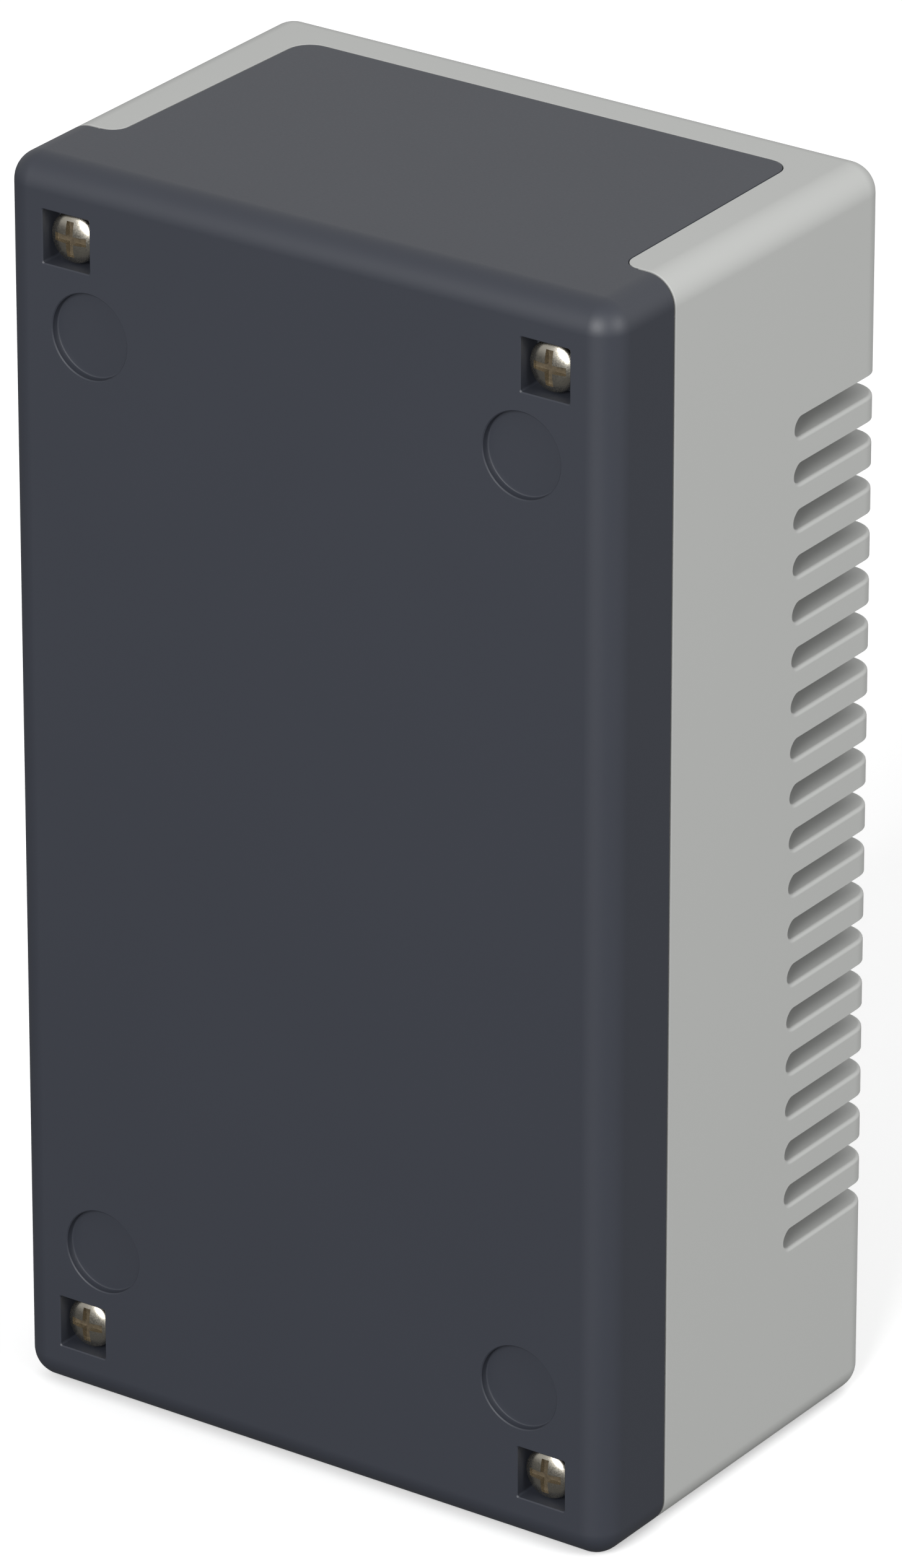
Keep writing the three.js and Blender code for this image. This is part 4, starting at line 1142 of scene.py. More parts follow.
INSIDE = {
    # Soft and unpolished: nearly black, with no highlight.
    "rubber": Finish("EPDM rubber, moulded", "#1b1b1d", "#222224", 0.75, grain_mm=0.5, grain_height_mm=0.01),
    # Clear and polished: bends what lies behind it, with a small sharp highlight.
    "clear_acrylic": Finish("acrylic, polished rod", "#e6eef0", "#eef4f5", 0.12, transmission=0.85, ior=1.49),
    # Solder mask over glass weave: deep green, half gloss, a little uneven.
    "laminate": Laminate("glass-epoxy laminate under solder mask", "#14512f", "#175a35", 0.32, ior=1.55,
                         tone_mm=4.0, grain_mm=0.9, grain_height_mm=0.006),
    # Filled nylon off a smooth mould: satin green.
    "terminal_nylon": Finish("nylon, moulded green", "#2f8a4c", "#338f51", 0.42),
    # The same in black: satin, faintly mottled by its filler.
    "black_nylon": Finish("nylon, moulded black", "#1d1e20", "#232427", 0.45),
    # Rolled strip: golden, with fine streaks along the roll.
    "clip_bronze": Finish("phosphor bronze strip, rolled", "#c9a05a", "#b98d49", 0.28, metallic=1.0,
                          tone_mm=3.0, stretch=(0.1, 1.0, 1.0)),
    # Glaze over white ceramic: cream and glossy.
    "fuse_ceramic": Finish("ceramic, glazed", "#dcd8cb", "#e4e0d4", 0.2, ior=1.55),
    # Dipped and baked: strong blue, glossy, gently lumpy.
    "varistor_coating": Finish("epoxy, dipped", "#2459a6", "#2a62b2", 0.35, grain_mm=1.2,
                               grain_height_mm=0.03),
    # Pressed oxide: dark grey, dull, fine grained.
    "ferrite": Finish("ferrite, sintered and ground", "#34353a", "#2c2d31", 0.55, tone_mm=3.0,
                      grain_mm=0.25, grain_height_mm=0.01),
    # Clear enamel over copper: copper red under a glossy coat.
    "enamel_wire": Finish("copper wire, enamelled", "#b0602a", "#a15425", 0.3, metallic=0.8, coat=0.6),
    # Film shrunk tight: dark blue, smooth, half gloss.
    "capacitor_sleeve": Finish("PET sleeve, heat-shrunk", "#1f2638", "#232b3f", 0.33),
    # Drawn through a die, then anodised: pale matt metal with lines along its length.
    "sink_aluminium": Finish("aluminium, extruded and anodised", "#bfc2c4", "#b4b7ba", 0.42, metallic=1.0,
                             stretch=(1.0, 1.0, 0.04), grain_mm=0.3, grain_height_mm=0.006),
    # Filled epoxy off a matt mould: black turned grey, dull.
    "chip_epoxy": Finish("epoxy, transfer-moulded", "#222326", "#28292c", 0.5, grain_mm=0.2,
                         grain_height_mm=0.008),
    # Unfilled nylon: cream, slightly waxy.
    "bobbin_nylon": Finish("nylon, natural", "#d8d0b8", "#cfc6ab", 0.48),
    # Thin film tape: warm yellow, glossy.
    "winding_tape": Finish("polyester tape, wound", "#d6ae45", "#cfa53c", 0.3, coat=0.3),
    # Moulded polyester: an even satin yellow.
    "film_case": Finish("polyester case, moulded yellow", "#d6a236", "#dba83c", 0.38),
    # The same in off-white.
    "relay_case": Finish("polyester case, moulded white", "#e2e2dc", "#dadad3", 0.4),
    # Tinted clear resin: green and partly see-through.
    "led_epoxy": Finish("epoxy, tinted and cast", "#5fbf62", "#66c769", 0.2, transmission=0.5),
    # Dipped tin: bright, with a gloss that changes where it set.
    "solder_tin": Finish("tin, hot-dipped", "#c4c6c8", "#b2b5b8", 0.3, metallic=1.0, tone_mm=1.0,
                         grain_mm=0.3, grain_height_mm=0.004, roughness_swing=0.1),
    # Printed ink: flat white.
    "legend_ink": Finish("epoxy ink, screen-printed white", "#dfe1dd", "#d3d6d0", 0.6, grain_mm=0.3),
    # Zinc over steel: cool grey metal with a soft highlight.
    "zinc_steel": Finish("steel, zinc-plated", "#b3b6b8", "#a4a7a9", 0.3, metallic=1.0, tone_mm=1.5,
                         grain_mm=0.2),
}


@cache
def finish_of(slot: str) -> Material:
    """The built material of a slot, made the first time it is asked for."""
    return INSIDE[slot].build()


def settled(obj: Piece, node: str) -> Piece:
    """Lets a piece ride its node's body and stand for it.

    Args:
        obj: the piece.
        node: the CAD node.

    Returns:
        The same piece.
    """
    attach(obj, body_of(frame["nodes"][node])[0])
    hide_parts(node)
    return obj


def assembled(name: str, parts: list[tuple[Body, str]], round_mm: float = 0.0, sharp: float = 35.0,
              segments: int = 2) -> Piece:
    """Makes one piece of several closed bodies, each with its own finish.

    Args:
        name: the CAD node that the piece stands for.
        parts: bodies and the slots of their finishes.
        round_mm: rounding of the sharp edges.
        sharp: angle past which an edge is sharp, in degrees.
        segments: faces across the rounding.

    Returns:
        The piece, riding its body and standing for its node.
    """
    slots = list(dict.fromkeys(slot for _, slot in parts))
    index = np.concatenate([np.full(len(body.faces), slots.index(slot)) for body, slot in parts])
    obj = solid_object(name + "_detailed", gather([body for body, _ in parts]), index)
    for slot in slots:
        obj.data.materials.append(finish_of(slot))
    return settled(soften(obj, round_mm, sharp, segments), name)


def hollowed(name: str, body: Body, slot: str, cutters: list[Body], sharp: float, round_mm: float = 0.0
             ) -> Piece:
    """Makes one piece of a body with cutters taken out of it, one after the other.

    Args:
        name: the CAD node that the piece stands for.
        body: its shape before it is cut.
        slot: slot of its finish.
        cutters: what is cut out.
        sharp: angle past which an edge is sharp, in degrees.
        round_mm: rounding of the sharp edges.

    Returns:
        The piece, riding its body and standing for its node.
    """
    obj = solid_object(name + "_detailed", body)
    for cutter in cutters:
        combine(obj, cutter, Cut.TAKE)
    dress(obj, finish_of(slot))
    return settled(soften(obj, round_mm, sharp), name)


def joined(first: Piece, second: Piece, node: str) -> Piece:
    """Makes one piece of two, with the materials of both, and lets it stand for a node.

    Args:
        first: object whose mesh comes first.
        second: object that is taken up and removed.
        node: the CAD node.

    Returns:
        The joined piece.
    """
    made = bmesh.new()
    shift = len(first.data.materials)
    made.from_mesh(first.data)
    count = len(made.faces)
    made.from_mesh(second.data)
    made.faces.ensure_lookup_table()
    for face in made.faces[count:]:
        face.material_index += shift
    made.to_mesh(first.data)
    made.free()
    for material in second.data.materials:
        first.data.materials.append(material)
    bpy.data.objects.remove(second)
    first.name = node + "_detailed"
    return settled(first, node)


def tube(path: np.ndarray, radius: float, sides: int = 10) -> Body:
    """Round wire along a path: each ring lies across the path's own direction.

    The ring's first direction is the tangent crossed with a fixed way, the second is the tangent crossed
    with the first.

    Args:
        path: array of shape (points, 3).
        radius: radius of the wire.
        sides: points round.

    Returns:
        The wire, closed at both ends.
    """
    along = np.gradient(path, axis=0)
    along /= np.linalg.norm(along, axis=1)[:, None]
    first = np.cross(along, np.array([0.309, 0.211, 0.927]))
    first /= np.linalg.norm(first, axis=1)[:, None]
    second = np.cross(along, first)
    angle = np.linspace(0, 2 * math.pi, sides, endpoint=False)[None, :, None]
    ring = np.cos(angle) * first[:, None, :] + np.sin(angle) * second[:, None, :]
    return loft(path[:, None, :] + radius * ring)


@dataclass
class PanScrew:
    """Pan-headed screw with a sawn slot and a fine thread, pointing along -Y.

    A side of -1 or 1 lays it along X instead, with its head towards the middle.
    """

    name: str
    shank: float
    head: float
    head_rise: float
    reach: float
    slot: float = 0.6
    pitch: float = 0.5
    side: int = 0
    thread_share: float = 0.13
    plain: float = 0.35
    edge: float = 0.12

    def outside(self) -> Body:
        """Screw with its head's underside at the origin and its tip at -Y.

        The shank's radius is a triangle wave of the height over the pitch plus the turn.

        Returns:
            The screw before its slot is sawn.
        """
        levels = np.arange(-self.reach + 0.5, -self.plain, self.pitch / 6)
        wave = 1 - np.abs(2 * spiral(levels, self.pitch, 40) - 1)
        ease = np.clip((-self.plain - levels) / 0.4, 0, 1) * np.clip((levels + self.reach) / 0.8, 0, 1)
        depth = self.thread_share * self.shank
        crown = [(self.head * (0.45 + 0.55 * math.cos(t)), self.head_rise * (0.3 + 0.7 * math.sin(t)))
                 for t in np.linspace(0, math.pi / 2, 7)]
        top = [(self.shank - depth, -0.3), (self.shank, -self.edge), (self.shank, 0.0),
               (self.head - self.edge, 0.0), (self.head, self.edge)] + crown + [(0.0, self.head_rise)]
        foot = [(0.0, -self.reach), (self.shank * 0.7, -self.reach),
                (self.shank * 0.85, -self.reach + self.plain)]
        return spun(foot, levels, self.shank - depth + depth * wave * ease[:, None], top)

    def build(self) -> Piece:
        """Makes the screw where its CAD node stands.

        Returns:
            The piece.
        """
        x0, _, _, x1, y1, _ = boxed(self.name)
        x, y, z = middle_of(self.name)
        reach = self.head + 1
        body = self.outside()
        saw = block((-reach, self.head_rise * 0.45, -self.slot / 2),
                    (reach, self.head_rise + 1, self.slot / 2))
        place = (x, y1 - self.head_rise, z)
        if self.side:
            turn = ((0, self.side, 0), (-self.side, 0, 0), (0, 0, 1))
            body, saw = (one.turned_to(*turn) for one in (body, saw))
            place = (x0 + self.head_rise if self.side > 0 else x1 - self.head_rise, y, z)
        return hollowed(self.name, body.moved(*place), "zinc_steel", [saw.moved(*place)], 40.0)


@dataclass
class Entries:
    """Rubber cable entries, the light guide and the status light."""

    rings: int = 3
    first_ring: float = 1.9
    ring_pitch: float = 1.15
    membrane: float = 0.7
    collar_step: float = 1.0
    guide_stop: float = 4.5
    led_neck: float = 0.87

    def grommet(self, name: str) -> Piece:
        """Blind grommet: a stepped flange, a membrane with moulded rings and a pip in the middle.

        Args:
            name: the CAD node.

        Returns:
            The piece.
        """
        x, y, _ = middle_of(name)
        profile = [(0, 0.25), (0.9, 0.3), (1.3, self.membrane)]
        for start in (self.first_ring + number * self.ring_pitch for number in range(self.rings)):
            profile += [(start, self.membrane), (start + 0.15, 0.42), (start + 0.45, 0.42),
                        (start + 0.6, self.membrane)]
        profile += [(5.3, 0.55), (5.8, 0.05), (6.1, 0), (8.1, 0), (8.45, 0.12), (8.55, 0.4), (8.5, 0.62),
                    (6.6, 0.65), (6.5, 0.8), (6.5, 4.9), (6.7, 5.0), (7.45, 5.05), (7.5, 5.3), (7.1, 5.8),
                    (5.8, 6.9), (5.4, 7.0), (4.9, 6.6), (4.8, 2.2), (0, 2.2)]
        return assembled(name, [(turned(profile, Axis.Z, (x, y, node_box(name)[0][2]), 72), "rubber")])

    def guide(self, name: str) -> Piece:
        """Light guide: a polished rod with a collar and a lens end.

        Args:
            name: the CAD node.

        Returns:
            The piece.
        """
        x0, y0, _, x1, y1, _ = boxed(name)
        x, _, z = middle_of(name)
        collar = (x1 - x0) / 2
        r = collar - self.collar_step
        stop = y1 - self.guide_stop
        profile = [(0, y0), (r - 0.15, y0), (r, y0 + 0.15), (r, stop - 0.2), (r + 0.2, stop),
                   (collar - 0.2, stop), (collar, stop + 0.2), (collar, stop + 1.5),
                   (collar - 0.2, stop + 1.7), (r + 0.1, stop + 1.7), (r, stop + 1.8), (r, y1 - 0.55),
                   (r * 0.9, y1 - 0.3), (r * 0.6, y1 - 0.1), (0, y1)]
        return assembled(name, [(turned(profile, Axis.Y, (x, 0, z), 48), "clear_acrylic")])

    def light(self, name: str) -> Piece:
        """Status light: a cast dome over a rim.

        Args:
            name: the CAD node.

        Returns:
            The piece.
        """
        x0, y0, _, x1, y1, _ = boxed(name)
        x, _, z = middle_of(name)
        r = (x1 - x0) / 2
        neck = r * self.led_neck
        dome = y0 + 1.1
        profile = [(0, y0), (r, y0), (r, y0 + 0.5), (neck, y0 + 0.6), (neck, dome)]
        profile += [(neck * math.cos(t), dome + (y1 - dome) * math.sin(t))
                    for t in np.linspace(0, math.pi / 2, 9)]
        return assembled(name, [(turned(profile, Axis.Y, (x, 0, z), 40), "led_epoxy")])

    def build(self) -> None:
        """Makes the four pieces."""
        self.grommet("dc_grommet")
        self.grommet("ac_grommet")
        self.guide("light_guide")
        self.light("status_led")


@dataclass
class Boards:
    """Main board and control board: masked laminate, tinned lands and white component outlines."""

    corner: float = 1.5
    screw_hole: float = 1.55
    land_rise: float = 0.06
    ink_rise: float = 0.03
    ink_width: float = 0.25
    ink_margin: float = 0.6
    ink_reach: float = 41.0
    sunk: float = 0.02
    pin_pitch: float = 2.54
    pins: int = 11
    legs: int = 8
    leg_pitch: float = 1.4
    outlined: tuple[str, ...] = (
        "dc_terminal_block", "ac_terminal_block", "fuse_base", "grid_relay", "film_capacitor_1",
        "film_capacitor_2", "surge_varistor", "heat_sink_left", "heat_sink_right", "transformer_bobbin",
        "bulk_capacitor_1", "bulk_capacitor_2", "bulk_capacitor_3")
    lead_spread: tuple[tuple[str, float], ...] = (
        ("grid_relay", 12.0), ("film_capacitor_1", 7.5), ("film_capacitor_2", 7.5))

    def land(self, x: float, z: float, radius: float, y: float) -> Body:
        """One tinned land: a low disc on the board's upper face.

        Args:
            x: its middle along X.
            z: its middle along Z.
            radius: its radius.
            y: level of the board's upper face.

        Returns:
            The land.
        """
        rise, low = self.land_rise, y - self.sunk
        profile = [(0, low), (radius, low), (radius, y + rise / 2), (radius * 0.9, y + rise), (0, y + rise)]
        return turned(profile, Axis.Y, (x, 0, z), 16)

    def ink(self, x: float, z: float, half_x: float, half_z: float, y: float) -> Body:
        """White outline on the board round a part: a thin rectangular ring.

        Args:
            x: its middle along X.
            z: its middle along Z.
            half_x: half its size along X.
            half_z: half its size along Z.
            y: level of the board's upper face.

        Returns:
            The outline.
        """
        inner = rounded_rectangle(half_x - self.ink_width, half_z - self.ink_width, 0.2, 2) + (x, z)
        outer = rounded_rectangle(half_x, half_z, 0.3, 2) + (x, z)
        low, high = y - self.sunk, y + self.ink_rise
        rings = [across(Axis.Y, level, flat)
                 for flat, level in ((outer, low), (outer, high), (inner, high), (inner, low))]
        return loft(np.array(rings), ends=False, loop=True)

    def lands(self, y: float) -> list[Body]:
        """Lands by the relay and film capacitors, along both sides, and under the control board.

        Args:
            y: level of the board's upper face.

        Returns:
            The lands.
        """
        made = []
        for node, spread in self.lead_spread:
            x, _, _ = middle_of(node)
            past = node_box(node)[1][2] + 1.9
            made += [self.land(x + side * spread, past, 0.9, y) for side in (-1, 1)]
        made += [self.land(side * 40.9, z, 0.35, y) for side in (-1, 1) for z in np.arange(55.0, 160.0, 9.0)]
        made += [self.land(x, 151.0, 0.6, y) for x in np.arange(-13.0, 14.0, 2.6)]
        return made + [self.land(x, 160.0, 0.8, y) for x in (-34.0, -30.0, 30.0, 34.0)]

    def main(self, name: str) -> Piece:
        """Main board with a hole for each screw, lands under the leads and outlines round the parts.

        Args:
            name: the CAD node.

        Returns:
            The piece.
        """
        _, y0, _, _, y1, _ = boxed(name)
        plate = solid_object(name + "_plate", slab(name, [y0, y1], self.corner, 6))
        screws = [middle_of(f"board_screw_{number}") for number in range(1, 5)]
        combine(plate, gather([
            turned([(self.screw_hole, y0 - 1), (self.screw_hole, y1 + 1)], Axis.Y, (x, 0, z), 24)
            for x, _, z in screws
        ]), Cut.TAKE)
        dress(plate, finish_of("laminate"))
        soften(plate, 0.0)
        inks = []
        for node in self.outlined:
            a0, _, c0, a1, _, c1 = boxed(node)
            half_x = min((a1 - a0) / 2 + self.ink_margin, self.ink_reach - abs(a0 + a1) / 2)
            inks.append(self.ink((a0 + a1) / 2, (c0 + c1) / 2, half_x, (c1 - c0) / 2 + self.ink_margin, y1))
        extra = assembled(name, [(gather(inks), "legend_ink"), (gather(self.lands(y1)), "solder_tin")])
        return joined(plate, extra, name)

    def control(self, name: str) -> Piece:
        """Upright board with small chip resistors and capacitors beside the controller.

        Args:
            name: the CAD node.

        Returns:
            The piece.
        """
        x0, y0, z0, x1, y1, z1 = boxed(name)
        x, y, _ = middle_of(name)
        flat = rounded_rectangle((x1 - x0) / 2, (y1 - y0) / 2, 1.0, 5) + (x, y)
        parts = [(carried(flat, Axis.Z, [z0, z1]), "laminate")]
        half, cap = 0.45, 0.28
        chips = [(row, x, y) for row, x in enumerate((-23.0, -18.0, -12.0, 12.0, 18.0, 23.0))
                 for y in (-14.0, -10.5, -3.0, 0.5, 4.0) if (row + int(y)) % 3]
        for row, x, y in chips:
            parts.append((block((x - 0.7, y - half, z1 + 0.02), (x + 0.7, y + half, z1 + half)),
                          "chip_epoxy" if row % 2 else "bobbin_nylon"))
            parts += [(block((end - cap, y - half - 0.03, z1 + 0.015),
                             (end + cap, y + half + 0.03, z1 + 0.48)), "solder_tin")
                      for end in (x - 1.0, x + 1.0)]
        low = z1 - self.sunk
        joint = [(0, low), (0.75, low), (0.7, z1 + 0.05), (0.35, z1 + 0.35), (0, z1 + half)]
        parts += [(turned(joint, Axis.Z, (x, y0 + 2.3, 0), 14), "solder_tin")
                  for x in np.arange(-12.7, 12.8, self.pin_pitch)]
        return assembled(name, parts)

    def chip(self, name: str) -> Piece:
        """Controller: a drafted body with a dimple by its first leg, and two rows of gull-wing legs.

        Args:
            name: the CAD node.

        Returns:
            The piece.
        """
        x0, y0, z0, x1, y1, z1 = boxed(name)
        y = (y0 + y1) / 2
        half_x, half_y = (x1 - x0) / 2, (y1 - y0) / 2 - 1.2
        levels = ((z0 + 0.1, 0.12), (z0 + 0.8, 0.0), (z1 - 0.08, 0.1), (z1, 0.2))
        body = stacked(Axis.Z, (0.0, y),
                       [(z, half_x - inset, half_y - inset, 0.15) for z, inset in levels], 3)
        low, high = z1 - 0.02, z1 + 0.015
        corner = (x0 + 1.4, y - half_y + 1.4, 0)
        dimple = turned([(0, low), (0.55, low), (0.55, high), (0, high)], Axis.Z, corner, 24)
        parts = [(body, "chip_epoxy"), (dimple, "black_nylon")]
        wing = np.array([[-0.2, 0.7], [0.45, 0.7], [0.65, 0.2], [1.2, 0.2], [1.2, 0], [0.5, 0], [0.33, 0.5],
                         [-0.2, 0.5]]) + (half_y, z0)
        for number in range(self.legs):
            x = (number - (self.legs - 1) / 2) * self.leg_pitch
            parts += [(carried(wing * (side, 1) + (y, 0), Axis.X, [x - 0.25, x + 0.25]), "solder_tin")
                      for side in (-1, 1)]
        return assembled(name, parts, 0.0, 30.0)

    def header(self, name: str) -> Piece:
        """Header: a notched black strip and eleven square pins with eased ends.

        Args:
            name: the CAD node.

        Returns:
            The piece.
        """
        _, y0, z0, _, y1, z1 = boxed(name)
        front = z0 + 2.4
        square = np.array([[-1, -1], [1, -1], [1, 1], [-1, 1]])
        parts = []
        for number in range(self.pins):
            x = (number - (self.pins - 1) / 2) * self.pin_pitch
            flat = rounded_rectangle(1.22, (z1 - front) / 2, 0.35, 3) + (x, (z1 + front) / 2)
            parts.append((carried(flat[:, ::-1], Axis.Y, [y0, y1]), "black_nylon"))
            pin = [across(Axis.Z, z, square * half + (x, y0 + 2.32))
                   for z, half in ((z0, 0.16), (z0 + 0.25, 0.32), (front + 0.4, 0.32))]
            parts.append((loft(np.array(pin)), "solder_tin"))
        parts += [(block((x - 0.5, y0, front + 0.1), (x + 0.5, y1, z1 - 0.1)), "black_nylon")
                  for x in (-14.45, 14.45)]
        return assembled(name, parts)

    def build(self) -> None:
        """Makes both boards, and the controller and header on the upright one."""
        self.main("main_board")
        self.control("control_board")
        self.chip("control_chip")
        self.header("control_header")


@dataclass
class Terminals:
    """Two terminal blocks with a sunk clamp screw for each pole."""

    pitch: float = 10.0
    chamfer: float = 2.0
    well: float = 2.4
    well_depth: float = 7.0
    entry: float = 3.8
    entry_rise: float = 3.0
    thread_pitch: float = 0.7
    thread: float = 0.16
    clamp_head: float = 2.4
    clamp_neck: float = 0.6

    def housing(self, name: str) -> Piece:
        """One housing: a chamfered prism, split between the poles, with its wells and wire entries cut.

        Args:
            name: the CAD node.

        Returns:
            The piece.
        """
        x0, y0, z0, x1, y1, z1 = boxed(name)
        z = (z0 + z1) / 2
        poles = round((x1 - x0) / self.pitch)
        places = [x0 + self.pitch * (number + 0.5) for number in range(poles)]
        outline = np.array([
            [y0, z0 + 0.6], [y0 + 0.4, z0 + 0.25], [y1 - 1.0, z0], [y1 - 0.25, z0 + 0.2], [y1, z0 + 0.6],
            [y1, z1 - self.chamfer], [y1 - 0.1, z1 - self.chamfer + 0.25],
            [y1 - self.chamfer + 0.2, z1 - 0.1], [y1 - self.chamfer, z1],
            [y0 + 0.4, z1], [y0, z1 - 0.4],
        ])
        rim = self.well + 0.5
        profile = [(self.well, y1 - self.well_depth), (self.well, y1 - 0.45), (rim, y1), (rim, y1 + 1)]
        half = self.entry / 2
        levels = ((z0 - 1, 0.7), (z0, 0.7), (z0 + 0.7, 0.0), (z + 2.0, 0.0))
        mouth = [(level, half + more, half + more, 0.5 + more) for level, more in levels]
        cutters = [
            gather([turned(profile, Axis.Y, (x, 0, z), 40) for x in places]),
            gather([stacked(Axis.Z, (x, y0 + self.entry_rise + half), mouth, 4) for x in places]),
            gather([block((x - 0.2, y0 + 1.2, z0 - 1), (x + 0.2, y1 + 1, z0 + 0.5))
                    for x in (x0 + self.pitch * number for number in range(1, poles))]),
        ]
        body = carried(outline, Axis.X, [x0, x0 + 0.25, x1 - 0.25, x1])
        return hollowed(name, body, "terminal_nylon", cutters, 25.0)

    def clamp(self, name: str) -> Piece:
        """Clamp screw: a smooth cylinder head with an eased rim and a slot, over a threaded end.

        Args:
            name: the CAD node.

        Returns:
            The piece.
        """
        _, y0, z0, _, y1, z1 = boxed(name)
        x, _, z = middle_of(name)
        head = (z1 - z0) / 2
        neck = head * self.clamp_neck
        under = y1 - self.clamp_head
        levels = np.arange(y0 + 0.3, under - 0.2, 0.1)
        wave = 1 - np.abs(2 * spiral(levels, self.thread_pitch, 40) - 1)
        top = [(neck, under), (head - 0.1, under), (head, under + 0.1), (head, y1 - 0.3),
               (head - 0.12, y1 - 0.08), (head - 0.3, y1), (0, y1)]
        radii = neck - self.thread + self.thread * wave
        body = spun([(0, y0), (neck * 0.75, y0)], levels, radii, top, x, z)
        saw = block((x - 3, y1 - 1.0, z - 0.35), (x + 3, y1 + 1, z + 0.35))
        return hollowed(name, body, "zinc_steel", [saw], 40.0)

    def build(self) -> None:
        """Makes the two blocks and their five screws."""
        poles = {"dc": 2, "ac": 3}
        for side in poles:
            self.housing(side + "_terminal_block")
        for side, count in poles.items():
            for number in range(1, count + 1):
                self.clamp(f"{side}_clamp_screw_{number}")


@dataclass
class FuseHolder:
    """Cartridge fuse between two spring clips on an insulating base, and the varistor beside it."""

    sheet: float = 0.6
    fuse_radius: float = 2.6
    fuse_gap: float = 0.3
    cap: float = 5.0
    lead_half: float = 3.75
    lead: float = 0.4

    def base(self, name: str) -> Piece:
        """Base with a raised wall at each end and a channel across its middle.

        Args:
            name: the CAD node.

        Returns:
            The piece.
        """
        _, y0, z0, _, y1, z1 = boxed(name)
        x, half = middle_of(name)[0], 4.6
        channel = block((x - half, y1 - 1.2, z0 - 1), (x + half, y1 + 1, z1 + 1))
        return hollowed(name, slab(name, [y0, y1 - 0.01, y1], 0.8, 5), "black_nylon", [channel], 40.0, 0.25)

    def clip(self, name: str) -> Piece:
        """Spring clip: a strip bent to a U that pinches over the fuse and flares at its lips.

        Each point of the strip's middle line is moved half the sheet to both sides, along the line's normal.

        Args:
            name: the CAD node.

        Returns:
            The piece.
        """
        x0, y0, z0, x1, y1, z1 = boxed(name)
        _, fuse, _ = middle_of("fuse_link")
        half = self.sheet / 2
        bend = self.fuse_radius + self.fuse_gap + half
        low = y0 + half
        side = np.array([
            (low, 0.0), (low, 1.6), (low + 0.15, 2.4), (low + 0.6, 2.95), (low + 1.3, bend), (fuse, bend),
            (fuse + 1.8, bend - 0.02), (fuse + 2.9, bend - 0.05), (fuse + 3.5, bend + 0.2),
            (y1 - 0.1, (z1 - z0) / 2 - half - 0.05)])
        line = np.vstack([side[::-1] * (1.0, -1.0), side[1:]])
        along = np.gradient(line, axis=0)
        along /= np.linalg.norm(along, axis=1)[:, None]
        normal = np.column_stack([-along[:, 1], along[:, 0]]) * half
        outline = np.vstack([line + normal, (line - normal)[::-1]]) + (0.0, (z0 + z1) / 2)
        strip = carried(outline, Axis.X, [x0, x0 + 0.05, x1 - 0.05, x1])
        return assembled(name, [(strip, "clip_bronze")], 0.0, 25.0)

    def fuse(self, name: str) -> Piece:
        """Cartridge fuse: a glazed tube and two drawn caps with a crimped groove.

        Args:
            name: the CAD node.

        Returns:
            The piece.
        """
        x0, y0, _, x1, y1, _ = boxed(name)
        _, y, z = middle_of(name)
        centre = (0.0, y, z)
        r = (y1 - y0) / 2
        inside = self.cap - 0.4
        glass = turned([(r - 0.25, x0 + inside), (r - 0.25, x1 - inside)], Axis.X, centre, 48)
        left = [(0, x0), (r * 0.55, x0), (r - 0.35, x0 + 0.08), (r - 0.08, x0 + 0.3), (r, x0 + 0.65),
                (r, x0 + 3.4), (r - 0.16, x0 + 3.65), (r - 0.16, x0 + 3.85), (r, x0 + 4.1), (r, x0 + 4.9),
                (r - 0.12, x0 + self.cap), (0, x0 + self.cap)]
        right = [(radius, x0 + x1 - x) for radius, x in left[::-1]]
        caps = gather([turned(profile, Axis.X, centre, 48) for profile in (left, right)])
        return assembled(name, [(glass, "fuse_ceramic"), (caps, "solder_tin")])

    def varistor(self, name: str) -> Piece:
        """Varistor: a dipped disc with coating run down its two tinned leads.

        Args:
            name: the CAD node.

        Returns:
            The piece.
        """
        x0, y0, z0, x1, y1, z1 = boxed(name)
        middle, _, z = middle_of(name)
        r, half = (x1 - x0) / 2, (z1 - z0) / 2
        rim = [(r - 1.1 * (1 - math.sin(t)), z - half + 0.55 + 1.0 * (1 - math.cos(t)))
               for t in np.linspace(0, math.pi / 2, 8)]
        face = [(0, z - half + 0.25), (r * 0.5, z - half + 0.3), (r * 0.78, z - half + 0.42)] + rim
        front = [(radius, 2 * z - level) for radius, level in face[::-1]]
        parts = [(turned(face + front, Axis.Z, (middle, y1 - r, 0.0), 64), "varistor_coating")]
        level = y1 - r - 5.2
        drip = [(0.35, level - 2.6), (0.55, level - 1.8), (0.9, level - 0.4), (1.1, level + 1.2)]
        for side in (-1, 1):
            x = middle + side * self.lead_half
            path = np.array([[x, y0, z], [x, y0 + 0.8, z], [x + side * 0.15, y0 + 1.4, z], [x, y0 + 2.2, z],
                             [x, level, z]])
            parts += [(turned(drip, Axis.Y, (x, 0, z), 20), "varistor_coating"),
                      (tube(path, self.lead, 12), "solder_tin")]
        return assembled(name, parts)

    def build(self) -> None:
        """Makes the holder, its fuse and the varistor."""
        self.base("fuse_base")
        self.clip("fuse_clip_left")
        self.clip("fuse_clip_right")
        self.fuse("fuse_link")
        self.varistor("surge_varistor")


